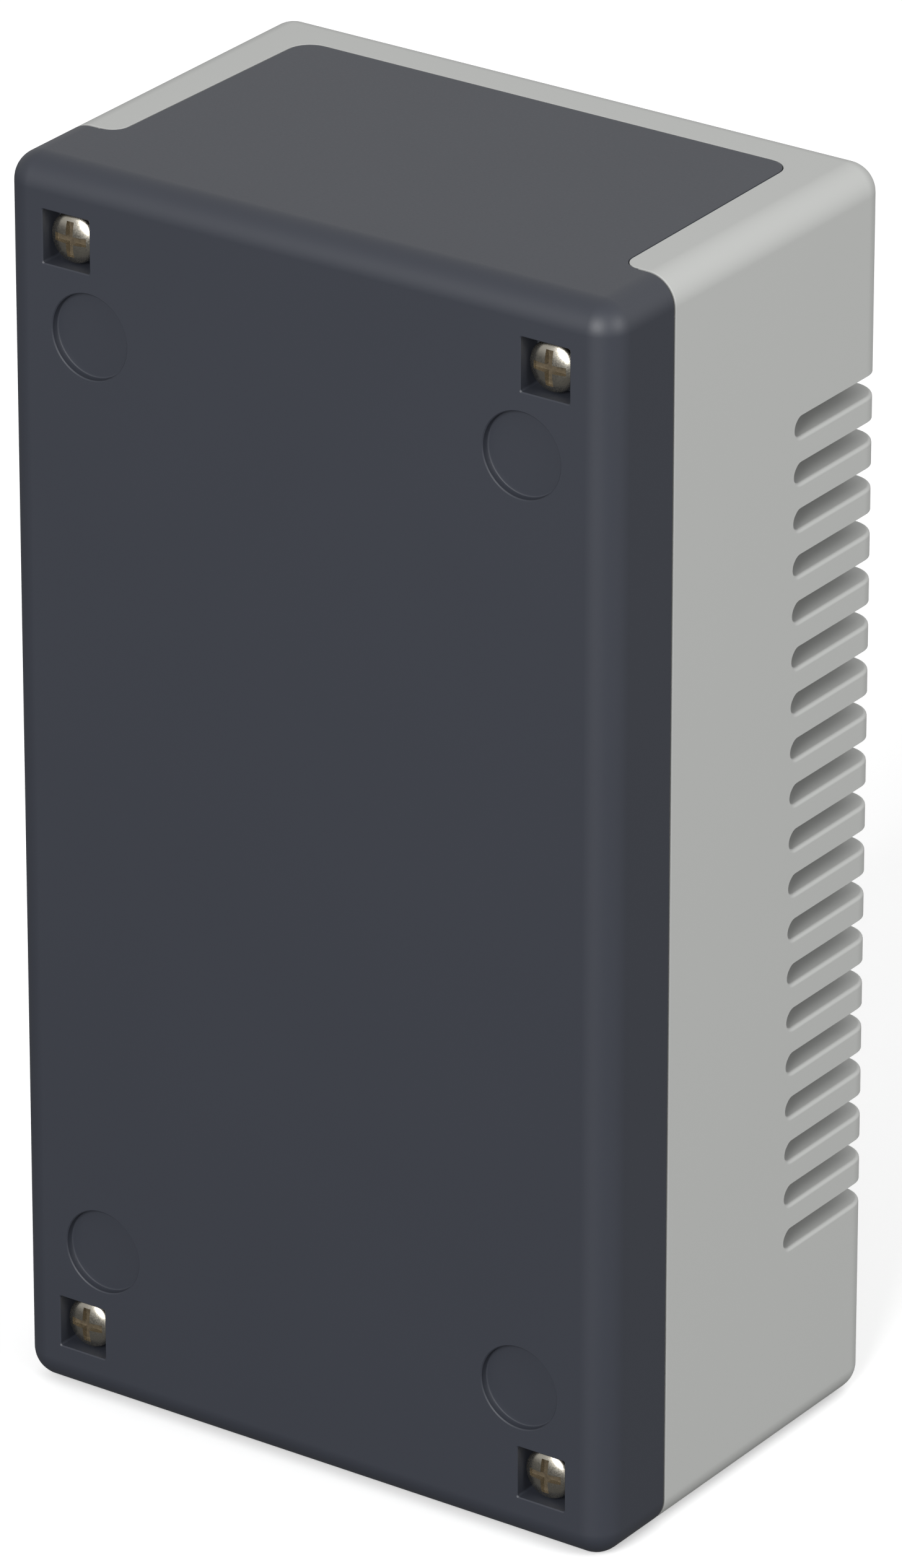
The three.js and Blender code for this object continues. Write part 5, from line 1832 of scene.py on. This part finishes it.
@dataclass
class RingCoil:
    """Coil on a ferrite ring: a coated core and one round wire wound through it."""

    inner: float = 7.0
    core_edge: float = 1.0
    wire: float = 0.82
    stand_off: float = 1.18
    bend: float = 1.9
    steps: int = 36
    sides: int = 96
    first_share: float = 0.78

    def core(self, name: str) -> Piece:
        """Coated ring: its section is a rectangle with round corners, carried round the Y axis.

        Args:
            name: the CAD node.

        Returns:
            The piece.
        """
        x0, y0, _, x1, y1, _ = boxed(name)
        x, y, z = middle_of(name)
        outer = (x1 - x0) / 2
        section = rounded_rectangle((outer - self.inner) / 2, (y1 - y0) / 2, self.core_edge, 5)
        radius = (section[:, 0] + (outer + self.inner) / 2)[None, :]
        angle = np.linspace(0, 2 * math.pi, self.sides, endpoint=False)[:, None]
        height = np.ones_like(angle) * (section[:, 1] + y)[None, :]
        rings = np.stack([x + radius * np.cos(angle), height, z + radius * np.sin(angle)], axis=-1)
        return assembled(name, [(loft(rings, ends=False, loop=True), "ferrite")])

    def winding(self, name: str, core: str, start: float, stop: float, turns: int) -> Piece:
        """One winding: the wire runs round the core's section while its place round the ring creeps on.

        Place round the ring = start + (stop - start) * turn / turns, and the point on the section is a
        rounded rectangle at the turn's own fraction.

        Args:
            name: the CAD node of the winding.
            core: the CAD node of its ring.
            start: angle of the first turn, in degrees from +X towards +Z.
            stop: angle of the last turn.
            turns: number of turns.

        Returns:
            The piece.
        """
        x0, y0, _, x1, y1, _ = boxed(core)
        middle_x, middle_y, middle_z = middle_of(core)
        outer = (x1 - x0) / 2
        half_r, half_y = (outer - self.inner) / 2 + self.stand_off, (y1 - y0) / 2 + self.stand_off
        loop = rounded_rectangle(half_r, half_y, self.bend, 6)
        closed = np.vstack([loop, loop[:1]])
        length = np.concatenate([[0], np.cumsum(np.linalg.norm(np.diff(closed, axis=0), axis=1))])
        share = np.linspace(0, turns, turns * self.steps + 1)
        turn = (share + self.first_share) % 1.0 * length[-1]
        radius = np.interp(turn, length, closed[:, 0]) + (outer + self.inner) / 2
        height = np.interp(turn, length, closed[:, 1]) + middle_y
        angle = np.radians(start + (stop - start) * share / turns)
        path = np.stack([middle_x + radius * np.cos(angle), height,
                         middle_z + radius * np.sin(angle)], axis=-1)
        foot, tinned = node_box(name)[0][1], self.wire * 0.9
        ends = [turned([(tinned, foot), (tinned, y)], Axis.Y, (x, 0, z), 14) for x, y, z in path[[0, -1]]]
        return assembled(name, [(tube(path, self.wire, 10), "enamel_wire"), (gather(ends), "solder_tin")])

    def build(self) -> None:
        """Makes the choke, with two windings, and the inductor, with one."""
        self.core("dc_choke_core")
        self.core("output_inductor_core")
        self.winding("dc_choke_winding_left", "dc_choke_core", 104.0, 256.0, 9)
        self.winding("dc_choke_winding_right", "dc_choke_core", 76.0, -76.0, 9)
        self.winding("output_inductor_winding", "output_inductor_core", 109.0, 431.0, 19)


@dataclass
class Cooling:
    """Two finned heat sinks with two clamped transistors each."""

    fins: int = 7
    fin: float = 2.0
    plate: float = 3.0
    bore_radius: float = 1.8
    transistor_height: float = 20.0
    tab: float = 0.9
    leg_pitch: float = 5.4
    leg_sheet: float = 0.6
    leg_from_back: float = 2.0

    def bore(self, number: int, side: int, near: float, far: float) -> Body:
        """Cutter for a transistor's screw, 1 mm past both faces.

        Args:
            number: number of the transistor.
            side: -1 on the left, 1 on the right.
            near: distance of the inner face from the middle.
            far: distance of the outer face.

        Returns:
            The cutter.
        """
        _, y, z = middle_of(f"transistor_screw_{number}")
        low, high = sorted([side * (near - 1), side * (far + 1)])
        return turned([(self.bore_radius, low), (self.bore_radius, high)], Axis.X, (0, y, z), 28)

    def sink(self, name: str, side: int) -> Piece:
        """Extrusion: a plate with fins whose edges are round and whose roots are filleted.

        Args:
            name: the CAD node.
            side: -1 on the left, 1 on the right.

        Returns:
            The piece.
        """
        x0, y0, z0, x1, y1, z1 = boxed(name)
        inner, edge = sorted([abs(x0), abs(x1)])
        root = inner + self.plate
        pitch = (y1 - y0 - self.fin) / (self.fins - 1)
        points = [[inner + 0.2, y0], [inner, y0 + 0.2], [inner, y1 - 0.2], [inner + 0.2, y1]]
        for number in range(self.fins - 1, -1, -1):
            low = y0 + number * pitch
            top = low + self.fin
            if number < self.fins - 1:
                points += [[root + 0.1, top + 0.4], [root + 0.5, top]]
            points += [[edge - 0.7, top - 0.25], [edge - 0.2, top - 0.45], [edge, top - 0.8],
                       [edge, low + 0.8], [edge - 0.2, low + 0.45], [edge - 0.7, low + 0.25]]
            if number:
                points += [[root + 0.5, low], [root + 0.1, low - 0.4]]
        body = carried(np.array(points) * (side, 1.0), Axis.Z, [z0, z1])
        first = 1 if side < 0 else 3
        holes = gather([self.bore(number, side, inner, edge) for number in (first, first + 1)])
        return hollowed(name, body, "sink_aluminium", [holes], 24.0)

    def transistor(self, number: int, side: int) -> Piece:
        """Power transistor: a drafted epoxy body on a metal tab, with three stepped legs.

        Args:
            number: its number.
            side: -1 on the left, 1 on the right.

        Returns:
            The piece.
        """
        name = f"power_transistor_{number}"
        x0, y0, z0, x1, y1, z1 = boxed(name)
        front, back = sorted([abs(x0), abs(x1)])
        low = y1 - self.transistor_height
        centre = ((y1 + low) / 2, (z0 + z1) / 2)
        half_y, half_z = (y1 - low) / 2, (z1 - z0) / 2
        levels = ((back - self.tab, 0.0), (back - 2.2, 0.0), (front + 0.3, 0.35), (front, 0.65))
        sections = [(side * x, half_y - inset, half_z - inset, 0.6) for x, inset in levels]
        bore = self.bore(number, side, front, back)
        flat = rounded_rectangle(half_y - 0.5, half_z - 0.9, 0.5, 4) + centre
        stops = sorted([side * back, side * (back - 0.12), side * (back - self.tab)])
        bodies = ((name + "_detailed", stacked(Axis.X, centre, sections, 4), "chip_epoxy", 30.0),
                  ("tab", carried(flat, Axis.X, stops), "solder_tin", 35.0))
        cut = []
        for label, body, slot, sharp in bodies:
            obj = combine(solid_object(label, body), bore, Cut.TAKE)
            cut.append(soften(dress(obj, finish_of(slot)), 0.0, sharp))
        leg = back - self.leg_from_back
        near, far = sorted([side * leg, side * (leg - self.leg_sheet)])
        legs = []
        for z in (centre[1] - self.leg_pitch, centre[1], centre[1] + self.leg_pitch):
            legs.append(block((near, low - 4.0, z - 1.1), (far, low + 0.4, z + 1.1)))
            legs.append(block((near + 0.01, y0, z - 0.6), (far - 0.01, low - 3.9, z + 0.6)))
        wires = assembled(name, [(gather(legs), "solder_tin")], 0.1, 35.0, 1)
        joined(cut[0], cut[1], name)
        return joined(cut[0], wires, name)

    def build(self) -> None:
        """Makes the sinks and the transistors."""
        self.sink("heat_sink_left", -1)
        self.sink("heat_sink_right", 1)
        for number, side in ((1, -1), (2, -1), (3, 1), (4, 1)):
            self.transistor(number, side)


@dataclass
class Transformer:
    """Ferrite core in two halves, a flanged bobbin and its taped winding."""

    back: float = 5.0
    leg: float = 5.0
    centre: float = 10.0
    sheet: float = 1.2
    tube_half_z: float = 6.3
    foot_from_middle: float = 8.3
    bare: float = 0.72
    bare_pitch: float = 0.42

    def half(self, name: str, side: int) -> Piece:
        """One E-shaped half with ground faces and eased outer edges.

        Args:
            name: the CAD node.
            side: -1 on the left, 1 on the right.

        Returns:
            The piece.
        """
        x0, y0, z0, x1, y1, z1 = boxed(name)
        near, far = sorted([abs(x0), abs(x1)])
        h, post, inner = (y1 - y0) / 2, self.centre / 2, far - self.back
        upper = [[far, h - 0.8], [far - 0.25, h - 0.25], [far - 0.8, h], [near, h], [near, h - self.leg],
                 [inner, h - self.leg], [inner, post], [near, post]]
        points = np.array([[x, -y] for x, y in upper[3::-1]] + upper + [[x, -y] for x, y in upper[:3:-1]])
        outline = points * (side, 1.0) + (0.0, (y0 + y1) / 2)
        return assembled(name, [(carried(outline, Axis.Z, [z0, z1]), "ferrite")], 0.3, 40.0)

    def sleeve(self, sections: list[tuple[float, float, float, float]], centre: tuple[float, float]) -> Body:
        """Hollow body about X: its sections run along the outside and back through the inside.

        Args:
            sections: X, half sizes along Y and Z, and corner radius of each.
            centre: Y and Z of its middle.

        Returns:
            The body.
        """
        return loft(np.array([self.ring(*section, centre) for section in sections]), ends=False, loop=True)

    def ring(self, x: float, half_y: float, half_z: float, radius: float, centre: tuple[float, float]
             ) -> np.ndarray:
        """Rounded rectangle across the X axis."""
        return across(Axis.X, x, rounded_rectangle(half_y, half_z, radius, 5) + centre)

    def bobbin(self, name: str) -> Piece:
        """Tube with two round-cornered flanges, and pins that stand in its feet.

        Args:
            name: the CAD node.

        Returns:
            The piece.
        """
        x0, y0, z0, x1, y1, z1 = boxed(name)
        y, z = middle_of("transformer_core_left")[1], (z0 + z1) / 2
        in_y, in_z = self.centre / 2 + 0.3, self.tube_half_z
        out_y, out_z, sheet = y1 - y, (z1 - z0) / 2, self.sheet
        flange, waist = (out_y, out_z, 1.0), (in_y + 1, in_z + 1, 0.4)
        sections = [(x0, *flange), (x0 + sheet, *flange), (x0 + sheet, *waist), (x1 - sheet, *waist),
                    (x1 - sheet, *flange), (x1, *flange), (x1, in_y, in_z, 0.2), (x0, in_y, in_z, 0.2)]
        parts = [(self.sleeve(sections, (y, z)), "bobbin_nylon")]
        thin = sheet / 2 - 0.02
        pin = [(0.3, y0), (0.4, y0 + 0.15), (0.4, y0 + 1.3)]
        for x in (x0 + sheet / 2, x1 - sheet / 2):
            for at in (z - self.foot_from_middle, z + self.foot_from_middle):
                parts.append((block((x - thin, y0 + 1.0, at - 1.7), (x + thin, y - out_y + 0.6, at + 1.7)),
                              "bobbin_nylon"))
                parts += [(turned(pin, Axis.Y, (x, 0, at + dz), 12), "solder_tin") for dz in (-1.0, 1.0)]
        return assembled(name, parts)

    def winding(self, name: str) -> Piece:
        """Taped winding: three overlapped wraps, each a step smaller, over a margin of bare turns.

        Args:
            name: the CAD node.

        Returns:
            The piece.
        """
        x0, y0, z0, x1, y1, z1 = boxed(name)
        centre = ((y0 + y1) / 2, (z0 + z1) / 2)
        half_y, half_z = (y1 - y0) / 2, (z1 - z0) / 2
        inside = (self.centre / 2 + 1.6, 7.6, 0.5)
        steps = [(x0, 1.0), (x0 + 0.05, 0.75), (x0 + 1.5, 0.7), (x0 + 1.55, 0.15), (x0 + 8.0, 0.12),
                 (x0 + 8.05, 0.0), (x1 - 6.0, 0.0), (x1 - 5.95, 0.12), (x1 - 1.5, 0.15), (x1 - 1.45, 0.7),
                 (x1 - 0.05, 0.75), (x1, 1.0)]
        sections = [(x, half_y - less, half_z - less, 2.2) for x, less in steps]
        parts = [(self.sleeve(sections + [(x1, *inside), (x0, *inside)], centre), "winding_tape")]
        turns = []
        for x in np.concatenate([np.arange(x0 + 0.3, x0 + 1.4, self.bare_pitch),
                                 np.arange(x1 - 1.2, x1 - 0.2, self.bare_pitch)]):
            path = self.ring(x, half_y - self.bare, half_z - self.bare, 2.0, centre)
            turns.append(tube(np.vstack([path, path[:2]]), 0.2, 6))
        return assembled(name, parts + [(gather(turns), "enamel_wire")])

    def build(self) -> None:
        """Makes the four pieces."""
        self.half("transformer_core_left", -1)
        self.half("transformer_core_right", 1)
        self.bobbin("transformer_bobbin")
        self.winding("transformer_winding")


@dataclass
class Capacitors:
    """Three electrolytic cans, two film capacitors and the relay."""

    edge: float = 0.8
    stripe_half: float = 22.0
    score_half: float = 0.12
    lead_half: float = 7.5
    foot_half: float = 0.7

    def can(self, name: str) -> Piece:
        """Electrolytic can: a shrunk sleeve over a rolled groove, a pale stripe and a scored top.

        Args:
            name: the CAD node.

        Returns:
            The piece.
        """
        _, y0, z0, _, y1, z1 = boxed(name)
        x, _, z = middle_of(name)
        r = (z1 - z0) / 2
        rim = [(r - self.edge + self.edge * math.cos(t), y1 - self.edge + self.edge * math.sin(t))
               for t in np.linspace(0, math.pi / 2, 6)]
        profile = [(0, y0), (r - 0.9, y0), (r - 0.35, y0 + 0.1), (r, y0 + 0.6), (r, y0 + 2.2),
                   (r - 0.25, y0 + 2.7), (r - 0.75, y0 + 3.1), (r - 0.75, y0 + 3.35), (r - 0.25, y0 + 3.75),
                   (r, y0 + 4.2)] + rim
        profile += [(r - 1.15, y1 - 0.02), (r - 1.25, y1 - 0.15), (r - 1.28, y1 - 0.5), (0, y1 - 0.5)]
        sleeve = solid_object(name + "_detailed", turned(profile, Axis.Y, (x, 0, z), 72))
        dress(sleeve, finish_of("capacitor_sleeve"), finish_of("legend_ink"))
        across_x, up, across_z = (face_centres(sleeve.data) - (x, 0, z)).T
        stripe = np.abs(np.degrees(np.arctan2(across_x, across_z))) < self.stripe_half
        stripe &= (np.hypot(across_x, across_z) > r - 0.3) & (up > y0 + 5) & (up < y1 - 1)
        sleeve.data.polygons.foreach_set("material_index", stripe.astype(np.int32))
        soften(sleeve, 0.0, sharp=35.0)
        inner = r - 1.32
        profile = [(0, y1 - 0.6), (inner, y1 - 0.6), (inner, y1 - 0.22), (inner - 0.25, y1 - 0.12),
                   (inner - 0.9, y1 - 0.3), (0, y1 - 0.3)]
        top = solid_object("top", turned(profile, Axis.Y, (x, 0, z), 64))
        score = block((-4.2, y1 - 0.42, -self.score_half), (4.2, y1, self.score_half))
        for angle in np.radians((0, 60, 120)):
            a, b = math.cos(angle), math.sin(angle)
            combine(top, score.turned_to((a, 0, b), (0, 1, 0), (-b, 0, a)).moved(x, 0, z), Cut.TAKE)
        dress(top, finish_of("sink_aluminium"))
        return joined(sleeve, soften(top, 0.0, sharp=30.0), name)

    def film(self, name: str) -> Piece:
        """Film capacitor: a moulded case on four stand-off feet, potted underneath.

        Args:
            name: the CAD node.

        Returns:
            The piece.
        """
        x0, y0, z0, x1, y1, z1 = boxed(name)
        x, _, z = middle_of(name)
        half_x, half_z, foot = (x1 - x0) / 2, (z1 - z0) / 2, self.foot_half
        levels = [(y0 + 0.6, 0.1), (y0 + 0.75, 0.0)]
        levels += [(y1 - 0.9 + 0.9 * math.sin(t), 0.9 * (1 - math.cos(t)))
                   for t in np.linspace(0, math.pi / 2, 6)]
        sections = [(y, half_x - inset, half_z - inset, max(0.95 - inset, 0.04)) for y, inset in levels]
        parts = [(stacked(Axis.Y, (x, z), sections, 6), "film_case")]
        for side in (-1, 1):
            u = x + side * (half_x - 1.1)
            parts += [(block((u - foot, y0, v - foot), (u + foot, y0 + 0.7, v + foot)), "film_case")
                      for v in (z - (half_z - 1.1), z + (half_z - 1.1))]
            lead = turned([(0.35, y0), (0.35, y0 + 0.9)], Axis.Y, (x + side * self.lead_half, 0, z), 14)
            parts.append((lead, "solder_tin"))
        return assembled(name, parts)

    def relay(self, name: str) -> Piece:
        """Relay: a sealed base, a cover with drafted sides and a round vent nib on its top.

        Args:
            name: the CAD node.

        Returns:
            The piece.
        """
        x0, y0, z0, x1, y1, z1 = boxed(name)
        x, _, z = middle_of(name)
        half_x, half_z = (x1 - x0) / 2, (z1 - z0) / 2
        levels = [(y0 + 1.9, 0.25), (y0 + 2.0, 0.1), (y0 + 2.1, 0.05)]
        levels += [(y1 - 0.75 + 0.6 * math.sin(t), 0.12 + 0.6 * (1 - math.cos(t)))
                   for t in np.linspace(0, math.pi / 2, 5)]
        cover = [(y, half_x - inset, half_z - inset, max(0.7 - inset, 0.04)) for y, inset in levels]
        base = [(y, half_x - inset, half_z - inset, 0.5)
                for y, inset in ((y0, 0.3), (y0 + 0.2, 0.1), (y0 + 1.85, 0.1), (y0 + 1.95, 0.3))]
        nib = turned([(0, y1 - 0.3), (0.9, y1 - 0.3), (0.85, y1 - 0.02), (0.5, y1), (0, y1 - 0.05)], Axis.Y,
                     (x0 + 3.0, 0, z0 + 2.6), 24)
        bodies = [stacked(Axis.Y, (x, z), sections, 5) for sections in (cover, base)]
        return assembled(name, [(body, "relay_case") for body in bodies + [nib]])

    def build(self) -> None:
        """Makes the six pieces."""
        for number in (1, 2, 3):
            self.can(f"bulk_capacitor_{number}")
        self.film("film_capacitor_1")
        self.film("film_capacitor_2")
        self.relay("grid_relay")


def build_inside() -> None:
    """Makes every piece inside the housing."""
    for group in (Entries, Boards, Terminals, FuseHolder, RingCoil, Cooling, Transformer, Capacitors):
        group().build()
    for number in range(1, 5):
        PanScrew(f"board_screw_{number}", shank=1.25, head=2.35, head_rise=1.5, reach=7.0).build()
        PanScrew(f"transistor_screw_{number}", shank=1.5, head=2.7, head_rise=1.8, reach=8.8, slot=0.7,
                 side=-1 if number < 3 else 1).build()


# ------------------------------------------------------------------ studio


@dataclass
class Studio:
    """Pale floor, soft lights and the camera."""

    azimuth: float = 34.89
    elevation: float = 24.9
    eye: tuple[float, float, float] = (0.8191, -1.1729, 0.7589)
    lens: float = 257.0
    floor_half: float = 6.0
    aim: tuple[float, float, float] = (0.0, 0.0, 0.095)
    lamp_side: float = 1.0
    lamps: tuple[tuple[str, tuple[float, float, float], float], ...] = (
        ("back softbox", (0.35, -1.82, 0.84), 44.0), ("side softbox", (1.85, -0.10, 0.84), 22.0))

    def camera(self) -> None:
        """Sets the camera behind, above and to the right of the housing."""
        data = bpy.data.cameras.new("camera")
        data.lens = self.lens
        data.sensor_width = 36.0
        data.clip_end = 50.0
        camera = bpy.data.objects.new("camera", data)
        bpy.context.scene.collection.objects.link(camera)
        a, e = math.radians(self.azimuth), math.radians(self.elevation)
        back = Vector((math.sin(a) * math.cos(e), -math.cos(a) * math.cos(e), math.sin(e)))
        camera.location = Vector(self.eye)
        camera.rotation_mode = "QUATERNION"
        camera.rotation_quaternion = (-back).to_track_quat("-Z", "Y")
        bpy.context.scene.camera = camera

    def floor(self) -> None:
        """Lays a large pale floor under the housing."""
        corners = np.array([[-1, -1], [1, -1], [1, 1], [-1, 1]]) * self.floor_half
        mesh = bpy.data.meshes.new("floor")
        mesh.from_pydata(across(Axis.Z, -2e-4, corners).tolist(), [], [[0, 1, 2, 3]])
        floor = bpy.data.objects.new("floor", mesh)
        bpy.context.scene.collection.objects.link(floor)
        dress(floor, Finish("matt white board, lit from below", "#fbfbfb", "#fcfcfc", 0.9, grain_mm=2.0,
                            grain_height_mm=0.0, emission=0.2).build())
        floor.visible_diffuse = False
        floor.visible_glossy = False

    def light(self, name: str, place: tuple[float, float, float], power: float) -> None:
        """Hangs one square soft light that faces the housing.

        Args:
            name: its name.
            place: where it hangs, in metres.
            power: in watts.
        """
        data = bpy.data.lights.new(name, "AREA")
        data.size = self.lamp_side
        data.energy = power
        lamp = bpy.data.objects.new(name, data)
        bpy.context.scene.collection.objects.link(lamp)
        lamp.location = Vector(place)
        lamp.rotation_mode = "QUATERNION"
        lamp.rotation_quaternion = (Vector(self.aim) - Vector(place)).to_track_quat("-Z", "Y")

    def build(self) -> None:
        """Sets the whole studio up."""
        self.camera()
        self.floor()
        self.room()
        bpy.context.scene.view_settings.view_transform = "Standard"
        for name, place, power in self.lamps:
            self.light(name, place, power)

    def room(self) -> None:
        """Fills the room: a bright far wall, a dimmer near side and a dark lower half."""
        world = bpy.data.worlds.new("soft room")
        world.use_nodes = True
        tree = world.node_tree
        tree.nodes.clear()
        way = add_node(tree, "ShaderNodeTexCoord").outputs["Generated"]
        parts = add_node(tree, "ShaderNodeSeparateXYZ", links={0: way})
        rise = add_node(tree, "ShaderNodeMapRange",
                        {":From Min": -0.12, ":From Max": 0.06, ":To Min": 0.2, ":To Max": 1.0},
                        {"Value": parts.outputs["Z"]}).outputs[0]
        far = add_node(tree, "ShaderNodeMapRange",
                       {":From Min": 0.0, ":From Max": 0.7, ":To Min": 0.6, ":To Max": 1.1},
                       {"Value": parts.outputs["Y"]}).outputs[0]
        glow = add_node(tree, "ShaderNodeMath", {"operation": "MULTIPLY"}, {0: rise, 1: far}).outputs[0]
        background = add_node(tree, "ShaderNodeBackground", links={"Strength": glow})
        add_node(tree, "ShaderNodeOutputWorld", links={"Surface": background.outputs[0]})
        bpy.context.scene.world = world


def main() -> None:
    """Builds the object and its studio, and reports each piece."""
    logging.basicConfig(level=logging.INFO, format="%(message)s")
    Studio().build()
    graphite, light_grey, nickel, recess = (
        finish.build() for finish in (GRAPHITE_ABS, LIGHT_GREY_ABS, NICKEL_PLATE, RECESS_SHADE_AND_REFLECTION))
    base = BaseShell().build(graphite)
    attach(base, "base")
    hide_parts("base_shell")
    cover = CoverShell().build(light_grey)
    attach(cover, "cover")
    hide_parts("cover_shell")
    for place in ("top_left", "top_right", "bottom_left", "bottom_right"):
        screw = CaseScrew("case_screw_" + place).build(nickel, recess)
        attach(screw, "case_screw_" + place)
        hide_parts("case_screw_" + place)
    build_inside()
    for piece in bpy.data.objects:
        if piece.type == "MESH" and not piece.hide_render:
            LOG.info("%s: %d faces", piece.name, len(piece.data.polygons))
    bpy.context.view_layer.update()


if __name__ == "__main__":
    main()
